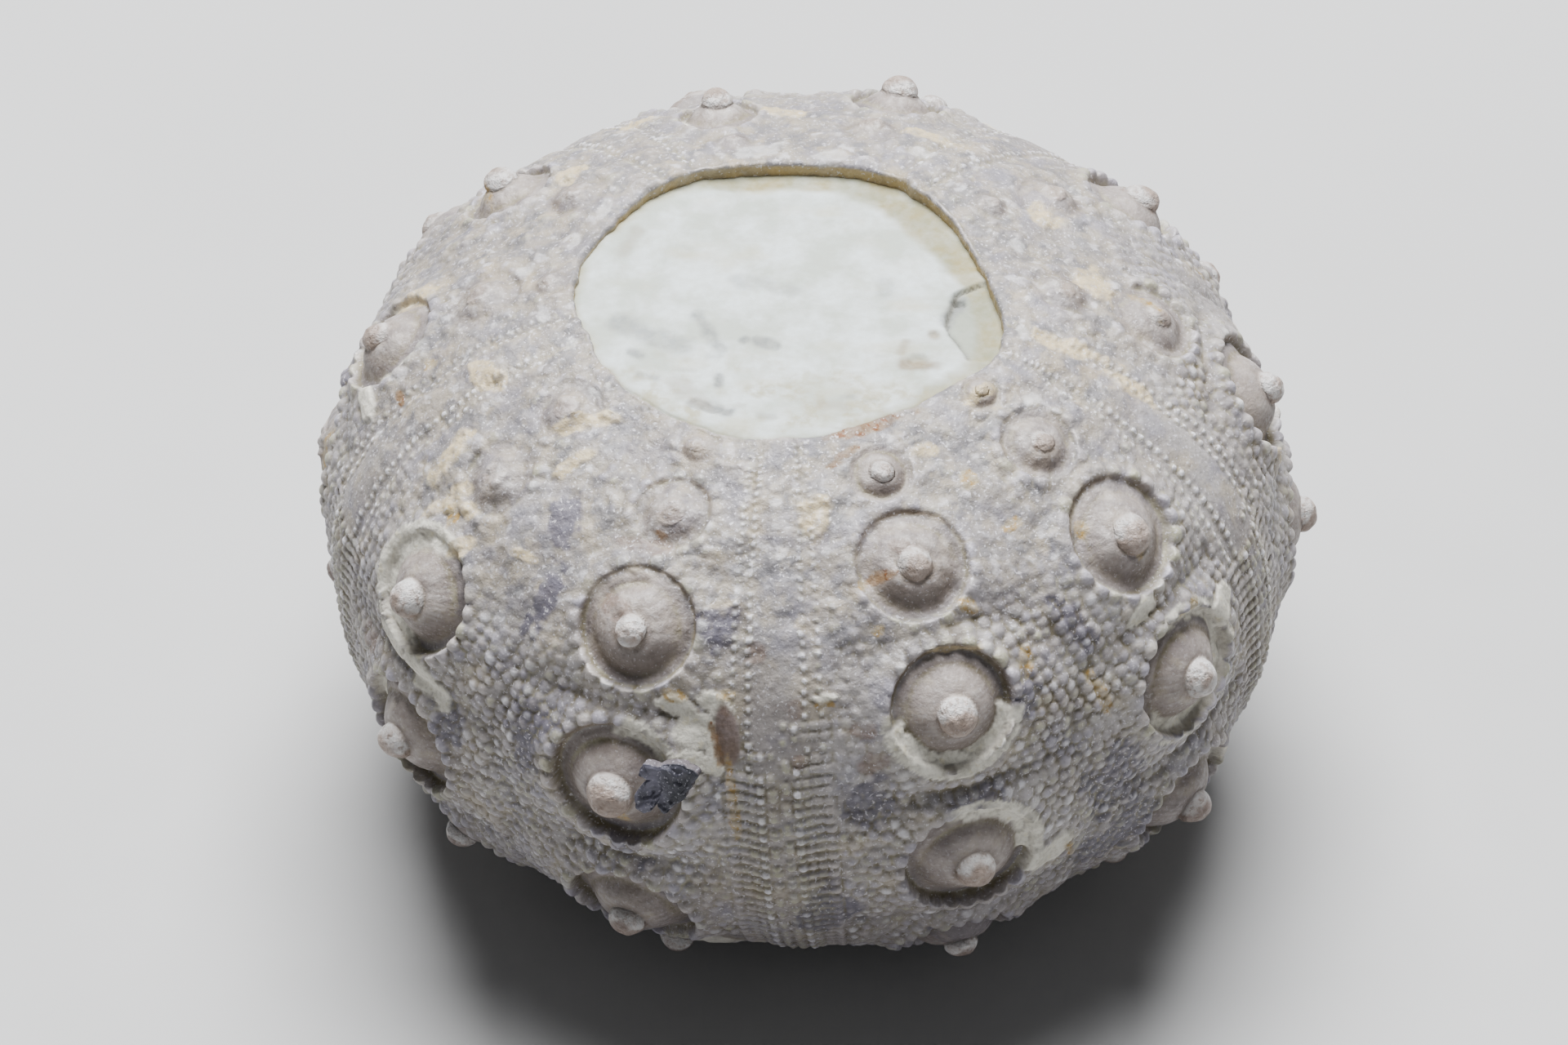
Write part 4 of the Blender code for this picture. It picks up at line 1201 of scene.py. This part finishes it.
def dress_sediment(material):
    """The fill: its surface in the opening, the flanks inside the test and the foot under the mouth."""
    count = int(2 * math.pi * APEX_OPENING_R / FILL_TURN_STEP)
    azimuth = FRONT + 2 * math.pi * np.arange(count) / count
    surface, found = fill_surface(azimuth)
    below = fill_below(azimuth)
    points = np.concatenate([surface, *below])
    none = np.zeros(len(points) - len(surface))
    masks = {mask: [np.concatenate([found[key], none]) for key in keys] for mask, keys in FILL_MASKS.items()}
    uv = points[:, :2] / 60.0 + 0.25
    turns = np.tile(np.arange(count) / count, len(below))
    depths = np.repeat(np.arange(len(below)), count) / len(below)
    uv[len(surface):] = np.column_stack([turns, 0.5 + 0.48 * depths])
    piece = fill_mesh("sediment", points, ring_faces(FILL_RINGS + len(below), count), uv, masks)
    piece.data.materials.append(material)
    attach(piece, "root")
    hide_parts("sediment_fill")


# ---------------------------------------------------------------- materials


class Nodes:
    """A short way to build a Principled material's node tree."""

    def __init__(self, name, masks=None):
        self.material = bpy.data.materials.new(name)
        self.material.use_nodes = True
        self.tree = self.material.node_tree
        self.shader = self.tree.nodes["Principled BSDF"]
        self.place = self.node("ShaderNodeTexCoord").outputs["Object"]
        self.noises = {}
        self.masks = {}
        for mask, keys in (masks or {}).items():
            read = self.node("ShaderNodeAttribute", attribute_name=mask)
            split = self.node("ShaderNodeSeparateColor")
            self.feed(split.inputs[0], read.outputs["Color"])
            self.masks.update(zip(keys, split.outputs))

    def node(self, kind, **settings):
        made = self.tree.nodes.new(kind)
        for key, value in settings.items():
            setattr(made, key, value)
        return made

    def feed(self, socket, value):
        if isinstance(value, bpy.types.NodeSocket):
            self.tree.links.new(value, socket)
        else:
            socket.default_value = value

    def noise(self, size, detail=3.0, roughness=0.55):
        """Noise with features of a size in millimetres, made once for each setting."""
        key = (size, detail, roughness)
        if key not in self.noises:
            made = self.node("ShaderNodeTexNoise")
            self.feed(made.inputs["Vector"], self.place)
            self.feed(made.inputs["Scale"], 1 / (size * MM))
            self.feed(made.inputs["Detail"], detail)
            self.feed(made.inputs["Roughness"], roughness)
            self.noises[key] = made.outputs["Fac"]
        return self.noises[key]

    def math(self, operation, a, b):
        made = self.node("ShaderNodeMath", operation=operation)
        self.feed(made.inputs[0], a)
        self.feed(made.inputs[1], b)
        return made.outputs[0]

    def ramp(self, value, low, high, to_low=0.0, to_high=1.0):
        """A smooth ramp between two levels."""
        made = self.node("ShaderNodeMapRange", interpolation_type="SMOOTHSTEP")
        self.feed(made.inputs["Value"], value)
        for key, number in (("From Min", low), ("From Max", high), ("To Min", to_low), ("To Max", to_high)):
            self.feed(made.inputs[key], number)
        return made.outputs["Result"]

    def mix(self, share, a, b, blend="MIX"):
        """Two colours mixed by a share."""
        made = self.node("ShaderNodeMix", data_type="RGBA", blend_type=blend)
        self.feed(made.inputs[0], share)
        for socket, colour in ((made.inputs[6], a), (made.inputs[7], b)):
            self.feed(socket, colour if isinstance(colour, bpy.types.NodeSocket) else (*colour, 1.0))
        return made.outputs[2]

    def bump(self, height, depth, strength, below=None):
        """A bump whose full height is a depth in millimetres."""
        made = self.node("ShaderNodeBump")
        self.feed(made.inputs["Strength"], strength)
        self.feed(made.inputs["Distance"], depth * MM)
        self.feed(made.inputs["Height"], height)
        if below is not None:
            self.feed(made.inputs["Normal"], below)
        return made.outputs["Normal"]

    def level(self, share):
        """One share of a coat: a number or a socket as it is, a mask by its name, or a ramp."""
        if isinstance(share, str):
            return self.masks[share]
        if isinstance(share, tuple):
            source, *levels = share
            return self.ramp(self.masks[source] if isinstance(source, str) else self.noise(*source), *levels)
        return share

    def product(self, *shares):
        """Some shares multiplied."""
        total = self.level(shares[0])
        for share in shares[1:]:
            total = self.math("MULTIPLY", total, self.level(share))
        return total

    def coats(self, colour, rows):
        """A colour under coats of others, which may be stacks of a colour and coats of their own."""
        for over, *shares in rows:
            share = self.product(*shares)
            stack = isinstance(over[0], tuple)
            colour = self.mix(share, colour, self.coats(*over) if stack else over)
        return colour

    def dimmed(self, share, colour, tint, strength):
        """A colour multiplied by a tint."""
        return self.mix(share, colour, self.mix(strength, colour, tint, "MULTIPLY"))

    def finish(self, colour, roughness, normal=None):
        """The material, once its shader has its colour, roughness and normal."""
        self.feed(self.shader.inputs["Base Color"], colour)
        self.feed(self.shader.inputs["Roughness"], roughness)
        if normal is not None:
            self.feed(self.shader.inputs["Normal"], normal)
        return self.material


TAUPE = (0.365, 0.335, 0.32)
PALE_TAUPE = (0.465, 0.44, 0.43)
DEEP_TAUPE = (0.25, 0.22, 0.21)
LAVENDER = (0.18, 0.17, 0.21)
SUTURE_GREY = (0.20, 0.19, 0.20)
CREAM = (0.42, 0.375, 0.31)
DOVE = (0.205, 0.20, 0.21)
VEIN = (0.66, 0.555, 0.37)
SPARK = (0.84, 0.83, 0.86)
PAINTED_GLINT_WHITE = (0.68, 0.66, 0.69)
BEAD_LILAC = (0.47, 0.45, 0.50)
BEAD_TAUPE = (0.54, 0.50, 0.475)
BEAD_SAGE = (0.48, 0.465, 0.36)
BOSS = (0.40, 0.345, 0.315)
BOSS_DEEP = (0.28, 0.235, 0.21)
AREOLE_FLOOR_SHADE = (0.20, 0.19, 0.205)
CAP_PINK = (0.45, 0.36, 0.305)
CAP_BROWN = (0.36, 0.285, 0.24)
UNDER_SHADE_BROWN = (0.20, 0.165, 0.145)
LILAC_WASH = (0.325, 0.32, 0.39)
CREAM_WASH = (0.50, 0.435, 0.325)
TOP_LILAC = (0.295, 0.285, 0.34)
TOP_CREAM = (0.52, 0.44, 0.31)
TOP_OLIVE = (0.27, 0.24, 0.15)
LENS_LILAC = (0.27, 0.215, 0.20)
LENS_BROWN = (0.21, 0.15, 0.115)
OCHRE_CREAM = (0.53, 0.42, 0.21)
RUST_BROWN = (0.27, 0.165, 0.08)
OLIVE = (0.22, 0.19, 0.115)
DUST_CREAM = (0.46, 0.43, 0.32)
CHALK = (0.79, 0.765, 0.68)
CHALK_SHADE = (0.66, 0.635, 0.55)
CHALK_YELLOW = (0.72, 0.67, 0.50)
CHALK_AND_HIGHLIGHT_WHITE = (0.71, 0.70, 0.69)
OCHRE = (0.42, 0.265, 0.075)
RUST = (0.24, 0.095, 0.03)
BROWN = (0.27, 0.20, 0.165)
MOAT_SHADE_AND_DIRT = (0.27, 0.215, 0.165)
WALL_OLIVE = (0.55, 0.43, 0.25)
GRAIN_TINT = (0.45, 0.42, 0.4)
LOW_SHADE_TINT = (0.51, 0.50, 0.525)

# Coats of colour, in the order they go on. Each has a colour, or a stack of a colour and its own coats, and
# then its shares, which are multiplied: a number, a mask's name, or a ramp. A ramp is a mask's name or noise
# (size in millimetres, detail, roughness), its two levels, and the shares at them where not 0 and 1.
BROAD, MIDDLE, FINE, PATCHY = (5.0, 4.0), (1.3, 4.0), (0.2, 3.0, 0.6), (0.8,)
RUBBED_COATS = (
    (DOVE, ((1.0, 5.0, 0.6), 0.4, 0.6)),
    (TOP_LILAC, ((2.3, 4.0), 0.5, 0.66, 0.0, 0.7)),
    (TOP_CREAM, ((1.7, 4.0), 0.54, 0.68, 0.0, 0.75)),
    (SPARK, (PATCHY, 0.57, 0.7, 0.0, 0.75)),
)
BOSS_COATS = (
    (BOSS_DEEP, (MIDDLE, 0.35, 0.65)),
    (CREAM_WASH, ((0.8, 4.0, 0.6), 0.53, 0.68, 0.0, 0.5)),
)
BEAD_COATS = (
    (BEAD_TAUPE, ("tone", 0.1, 0.5)),
    (BEAD_SAGE, ("tone", 0.55, 0.7)),
    (SPARK, ("tone", 0.78, 0.95)),
)
DIRT_AND_SHADE_COATS = (
    (TOP_OLIVE, "top"),
    (DUST_CREAM, ((2.0,), 0.48, 0.62, 0.0, 0.8)),
)
CHALK_COATS = (
    (CHALK_SHADE, (PATCHY, 0.4, 0.7)),
    (CHALK_YELLOW, ((0.5,), 0.58, 0.7, 0.0, 0.6)),
    # Painted shade in the chalk's crevices.
    (TAUPE, "cavity", 0.4),
)
CALCITE_COATS = (
    (PALE_TAUPE, (BROAD, 0.35, 0.65)),
    (DEEP_TAUPE, (MIDDLE, 0.48, 0.7, 0.0, 0.6)),
    (LILAC_WASH, ((2.6,), 0.5, 0.68, 0.0, 0.55)),
    (CREAM_WASH, ((1.9,), 0.52, 0.68, 0.0, 0.5)),
    ((CREAM, RUBBED_COATS), "top", (MIDDLE, 0.3, 0.65, 0.9, 0.5)),
    (LAVENDER, "violet", 0.8),
    (SUTURE_GREY, "suture", 0.5),
    ((BOSS, BOSS_COATS), "boss", 0.75),
    # Bead tips, paler partly in their own colour and partly as painted highlight.
    ((BEAD_LILAC, BEAD_COATS), "crest", (PATCHY, 0.3, 0.65, 0.5, 1.0)),
    (LAVENDER, "violet", 0.35),
    # Painted shade in broad hollows.
    (DEEP_TAUPE, "hollow", 0.35),
    # Painted shade on the areoles' floors.
    (AREOLE_FLOOR_SHADE, "ground", ((1.2,), 0.3, 0.65, 0.35, 0.85)),
    # Crevices: olive dirt and painted shade.
    ((OLIVE, DIRT_AND_SHADE_COATS), "cavity", (MIDDLE, 0.3, 0.7, 0.55, 0.95), ("top", 0.0, 1.0, 1.0, 0.8)),
    # Painted shade under the bosses.
    (UNDER_SHADE_BROWN, "under", 0.75),
    # Painted shadow and dirt under the areoles' upper walls, and painted shade at the mamelons' necks and tip
    # pits.
    (MOAT_SHADE_AND_DIRT, "moat", ((1.6,), 0.35, 0.65, 0.35, 0.9)),
    (BROWN, "brown", (PATCHY, 0.3, 0.6, 0.2, 0.65)),
    ((LENS_LILAC, ((LENS_BROWN, (PATCHY, 0.35, 0.65)),)), "lens", 0.9),
    ((CAP_PINK, ((CAP_BROWN, ((0.6,), 0.4, 0.7)),)), "cap", 0.8),
    # Caps: chalk and painted highlight.
    (CHALK_AND_HIGHLIGHT_WHITE, "capchalk", ((0.4,), 0.35, 0.6, 0.5, 0.95)),
    (CAP_BROWN, "cap", ((0.3, 3.0, 0.6), 0.52, 0.66, 0.0, 0.7)),
    ((CHALK, CHALK_COATS), "chalk"),
    (VEIN, "cream", ((0.5,), 0.3, 0.6, 0.35, 0.9)),
    (OCHRE_CREAM, "ochre", 0.4),
    (OCHRE, "ochre", ((0.35,), 0.48, 0.62, 0.0, 0.7)),
    (RUST_BROWN, "rust", ((0.7,), 0.3, 0.6, 0.45, 0.8)),
    (RUST, "rust", ((0.4,), 0.56, 0.66, 0.0, 0.85)),
    (WALL_OLIVE, "wall", ((1.2,), 0.35, 0.6, 0.5, 0.95)),
)


def calcite_material():
    """The test: fine-grained calcite, with rubbed tops, dirt and painted shade between the beads, chalk and
    iron stains, and painted shade, highlights, sheen and glints.
    """
    n = Nodes("fossil_calcite_surface", SKIN_MASKS)
    colour = n.coats(TAUPE, CALCITE_COATS)
    colour = n.dimmed(n.level((FINE, 0.42, 0.7, 0.0, 0.4)), colour, GRAIN_TINT, 0.6)
    # Painted glints of crystal faces, but not on chalk or on the lens, and less on the bosses.
    dull = n.ramp(n.math("MAXIMUM", n.masks["chalk"], n.masks["lens"]), 0.0, 0.6, 0.65, 0.0)
    glint = n.product(((0.16, 1.0), 0.62, 0.7), dull, ("boss", 0.0, 1.0, 1.0, 0.35))
    colour = n.mix(glint, colour, PAINTED_GLINT_WHITE)
    # Painted shade: the skin is darkened towards the bottom, as over a dark floor. The caps' chalk and
    # highlights stay brighter.
    colour = n.dimmed(n.product("low", ("capchalk", 0.0, 1.0, 0.85, 0.35)), colour, LOW_SHADE_TINT, 1.0)
    roughness = n.level((FINE, 0.3, 0.7, 0.44, 0.62))
    for share, change in (("chalk", 0.28), ("crest", -0.12), (glint, -0.25)):
        roughness = n.math("ADD", roughness, n.product(share, change))
    normal = n.bump(n.noise(0.5, 5.0, 0.6), 0.1, 0.9)
    normal = n.bump(n.product(n.noise(0.2, 2.0, 0.5), ("wear", 0.0, 1.0, 0.5, 1.0)), 0.035, 0.9, normal)
    normal = n.bump(n.product("cap", n.noise(0.35, 3.0, 0.6)), 0.22, 0.8, normal)
    return n.finish(colour, roughness, normal)


FILL_PALE = (0.675, 0.73, 0.73)
FILL_SHADE = (0.50, 0.54, 0.49)
FILL_DULL = (0.52, 0.52, 0.47)
STAIN_YELLOW = (0.56, 0.53, 0.38)
SMEAR_GREY = (0.38, 0.38, 0.33)
SLAB_GREEN = (0.34, 0.365, 0.295)
MARGIN_GREEN = (0.30, 0.30, 0.20)
MARGIN_YELLOW = (0.34, 0.29, 0.14)
FRONT_CREAM = (0.42, 0.39, 0.26)
PIT_CREAM = (0.44, 0.40, 0.28)
MARK_GREY = (0.24, 0.25, 0.25)
STAIN_BROWN = (0.27, 0.205, 0.13)
CRACK_SHADE = (0.11, 0.10, 0.075)
FILL_COATS = (
    (FILL_SHADE, ((2.2, 5.0), 0.35, 0.65)),
    (STAIN_YELLOW, "stain", 0.45),
    (SMEAR_GREY, "smear", 0.45),
    (SLAB_GREEN, "slab", 0.8),
    ((MARGIN_GREEN, ((MARGIN_YELLOW, ((2.5,), 0.35, 0.65)),)), "margin", ((1.4,), 0.3, 0.6, 0.6, 0.95)),
    (FRONT_CREAM, "front", ((0.45, 4.0), 0.35, 0.65, 0.1, 0.8)),
    (PIT_CREAM, "hollow", 0.4),
    (MARK_GREY, "grey", ((0.6,), 0.3, 0.6, 0.5, 0.9)),
    (STAIN_BROWN, "brown", 0.8),
    # Painted shade in the crack.
    (CRACK_SHADE, "gap", 0.8),
    (FILL_DULL, ((0.4,), 0.35, 0.65, 0.0, 0.25)),
)


def sediment_material():
    """The fill: pale greenish chalk with faint grey and yellow smears."""
    n = Nodes("chalky_sediment_surface", FILL_MASKS)
    roughness = n.level(((0.4,), 0.3, 0.7, 0.78, 0.92))
    return n.finish(n.coats(FILL_PALE, FILL_COATS), roughness, n.bump(n.noise(0.6, 5.0, 0.6), 0.06, 0.7))


SLATE_DARK = (0.05, 0.052, 0.062)
SLATE = (0.11, 0.11, 0.135)
SLATE_LILAC = (0.22, 0.215, 0.27)
SLATE_EDGE = (0.20, 0.17, 0.17)
SLATE_GLINT = (0.42, 0.41, 0.46)
SLATE_MASKS = {"slate": ("pale", "edge")}
SLATE_COATS = (
    (SLATE, ((0.9, 4.0), 0.35, 0.65)),
    (SLATE_LILAC, "pale", ((0.5, 4.0), 0.3, 0.65, 0.35, 0.95)),
    (SLATE_EDGE, "edge", 0.5),
    (SLATE_GLINT, ((0.13, 1.0), 0.6, 0.7, 0.0, 0.7)),
)


def slate_material():
    """The chip: dark blue-grey slate, split along its grain."""
    n = Nodes("slate_surface", SLATE_MASKS)
    roughness = n.level(((0.4,), 0.3, 0.7, 0.42, 0.6))
    return n.finish(n.coats(SLATE_DARK, SLATE_COATS), roughness, n.bump(n.noise(0.28, 5.0, 0.7), 0.08, 0.9))


FLOOR_GREY = (0.55, 0.55, 0.545)
FLOOR_PALE = (0.58, 0.58, 0.575)


def floor_material():
    """A plain pale studio floor."""
    n = Nodes("studio_floor")
    colour = n.coats(FLOOR_GREY, ((FLOOR_PALE, ((60.0, 2.0), 0.3, 0.7)),))
    return n.finish(colour, n.level(((8.0,), 0.3, 0.7, 0.6, 0.7)))


# ---------------------------------------------------------------- the chip

CHIP_TUBERCLE = (4, 1, 0)
CHIP_MIDDLE = (2.8, 1.55)
# The chip's outline east and north of its tubercle, in mm.
CHIP_OUTLINE = (
    (4.31, 2.8), (3.97, 2.09), (3.67, 1.45), (3.47, 0.85), (3.1, 0.57), (2.75, 0.01), (2.53, 0.07),
    (2.37, 0.45), (2.15, 0.05), (1.87, -0.09), (1.57, 0.25), (1.45, 0.82), (1.67, 1.4), (2.03, 1.85),
    (1.67, 2.3), (1.85, 2.77), (2.39, 2.55), (2.87, 2.77), (3.43, 2.95), (3.95, 3.01),
)
CHIP_TURNS = 120
# The rings of its face and base as shares of the outline, and its side as shares with drops in thicknesses.
CHIP_TOP_SHARES = np.concatenate([np.linspace(0.03, 0.9, 22), [0.94, 0.97, 0.99, 1.0]])
CHIP_SIDE = ((1.015, 0.2), (0.99, 0.45), (1.01, 0.7), (0.98, 0.95))
CHIP_BASE_SHARES, CHIP_BASE_DROP = (0.93, 0.7, 0.4, 0.05), 1.15
CHIP_LIFT, CHIP_THICKNESS = 0.62, 0.5
CHIP_TILT_WEST, CHIP_TILT_FROM, CHIP_TILT_NORTH = 0.5, 2.5, 0.08
CHIP_LAYER, CHIP_LUMPS, CHIP_BRIM_DROP = 0.11, 0.05, 0.1
CHIP_RAGGED, CHIP_SIDE_RAGGED = 0.05, 0.03


def chip_height(east, north):
    """The height of the chip's upper face over its areole's plane: a tilted face with broken layers."""
    flat = np.stack([east, north, 0 * east], axis=-1)
    layers = rough(flat, "chip layers")
    steps = smoothstep(-0.05, 0.0, layers) + smoothstep(0.35, 0.4, layers) - smoothstep(-0.45, -0.5, layers)
    tilt = CHIP_TILT_WEST * np.maximum(CHIP_TILT_FROM - east, 0) + CHIP_TILT_NORTH * (north - 1)
    bumps = CHIP_LAYER * steps + CHIP_LUMPS * rough(flat, "chip lumps")
    return CHIP_LIFT + CHIP_THICKNESS + tilt + bumps


def dress_chip(material):
    """The chip: a flake with broken lobes, its face split into layers."""
    azimuth, length = next(mark[1:3] for mark in tubercles() if mark[0] == CHIP_TUBERCLE)
    axes = np.stack(body_axes(azimuth, polar_at(length)))
    middle = np.array(CHIP_MIDDLE)
    spokes = np.array(CHIP_OUTLINE) - middle
    phi = 2 * math.pi * np.arange(CHIP_TURNS) / CHIP_TURNS
    reach = np.interp(phi, np.arctan2(spokes[:, 1], spokes[:, 0]), np.hypot(*spokes.T), period=2 * math.pi)
    outline = np.stack([np.cos(phi), np.sin(phi)], axis=-1) * reach[:, None]
    outline *= 1 + CHIP_RAGGED * rough(np.column_stack([outline, 0 * phi]), "chip edge")[:, None]
    none = np.zeros(CHIP_TURNS)
    rings, pale, edge = [], [], []
    for share in CHIP_TOP_SHARES:
        flat = middle + outline * share
        height = chip_height(*flat.T) - CHIP_BRIM_DROP * smoothstep(0.86, 1.0, share)
        rings.append(np.column_stack([flat, height]))
        pale.append(smoothstep(3.0, 2.2, flat[:, 0] + 0.3 * rough(rings[-1], "chip pale")))
        edge.append(none)
    brim, brim_pale = rings[-1][:, 2], pale[-1]
    for share, drop in CHIP_SIDE:
        flat = middle + outline * (share + CHIP_SIDE_RAGGED * rough(rings[-1], "chip side")[:, None])
        rings.append(np.column_stack([flat, brim - CHIP_THICKNESS * drop]))
        pale.append(0.4 * brim_pale)
        edge.append(none + 1)
    for share in CHIP_BASE_SHARES:
        flat = middle + outline * share
        rings.append(np.column_stack([flat, chip_height(*flat.T) - CHIP_THICKNESS * CHIP_BASE_DROP]))
        pale.append(none)
        edge.append(none)
    local = np.concatenate(rings)
    upper = np.arange(len(local)) < CHIP_TURNS * (len(CHIP_TOP_SHARES) + 2)
    uv = (local[:, :2] - middle) / 8.0 + np.where(upper[:, None], 0.25, 0.75)
    masks = {"slate": [np.concatenate(pale), np.concatenate(edge)]}
    points = skin_point(azimuth, length) + local @ axes
    piece = fill_mesh("slate_flake", points, ring_faces(len(rings), CHIP_TURNS), uv, masks)
    piece.data.materials.append(material)
    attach(piece, "root")
    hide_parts("slate_chip")


# ---------------------------------------------------------------- camera, light and floor

VIEW_AZIMUTH = math.radians(3.4)
VIEW_ELEVATION = math.radians(44.23)
VIEW_ROLL = -0.019
VIEW_DISTANCE = 255.3
VIEW_SHIFT_X = -0.0155
SENSOR = 36.0
LENS = 123.64
AIM = Vector((0, 0, AMBITUS_Z * MM))

# Each soft box: its place and size in metres, its power and its colour. The key is above and a little
# behind, and a weak one is in front.
LIGHTS = {
    "key": ((-0.01, 0.14, 0.42), 0.3, 4.5, (0.98, 0.985, 1.0)),
    "fill": ((0.1, -0.4, 0.3), 0.4, 0.15, (0.95, 0.97, 1.0)),
}
WORLD_COLOUR, WORLD_STRENGTH = (0.85, 0.88, 0.93, 1.0), 0.1
LOOK = "AgX - Medium High Contrast"
FLOOR_HALF = 1.5


def place_camera():
    """A camera that looks at the middle of the ambitus from the front and above."""
    data = bpy.data.cameras.new("camera")
    data.sensor_width = SENSOR
    data.lens = LENS
    data.shift_x = VIEW_SHIFT_X
    data.clip_start = 0.01
    camera = add_object("camera", data)
    flat = math.cos(VIEW_ELEVATION)
    back = Vector((math.sin(VIEW_AZIMUTH) * flat, -math.cos(VIEW_AZIMUTH) * flat, math.sin(VIEW_ELEVATION)))
    turn = back.to_track_quat("Z", "Y").to_matrix() @ Matrix.Rotation(VIEW_ROLL, 3, "Z")
    camera.matrix_world = turn.to_4x4()
    camera.location = AIM + back * VIEW_DISTANCE * MM
    bpy.context.scene.camera = camera


def light_studio():
    """Square soft boxes that face the object, and a pale world."""
    for name, (place, size, power, colour) in LIGHTS.items():
        data = bpy.data.lights.new(name, "AREA")
        data.shape = "SQUARE"
        data.size = size
        data.energy = power
        data.color = colour
        light = add_object(name, data)
        light.location = place
        light.rotation_euler = (AIM - Vector(place)).to_track_quat("-Z", "Y").to_euler()
    world = bpy.data.worlds.new("studio")
    world.use_nodes = True
    world.node_tree.nodes["Background"].inputs["Color"].default_value = WORLD_COLOUR
    world.node_tree.nodes["Background"].inputs["Strength"].default_value = WORLD_STRENGTH
    bpy.context.scene.world = world
    bpy.context.scene.view_settings.look = LOOK


def lay_floor():
    """A wide plain floor under the object."""
    half = FLOOR_HALF
    mesh = bpy.data.meshes.new("floor")
    corners = [(-half, -half, 0.0), (half, -half, 0.0), (half, half, 0.0), (-half, half, 0.0)]
    mesh.from_pydata(corners, [], [(0, 1, 2, 3)])
    mesh.materials.append(floor_material())
    floor = add_object("floor", mesh)


dress_test(calcite_material())
dress_sediment(sediment_material())
dress_chip(slate_material())
lay_floor()
light_studio()
place_camera()
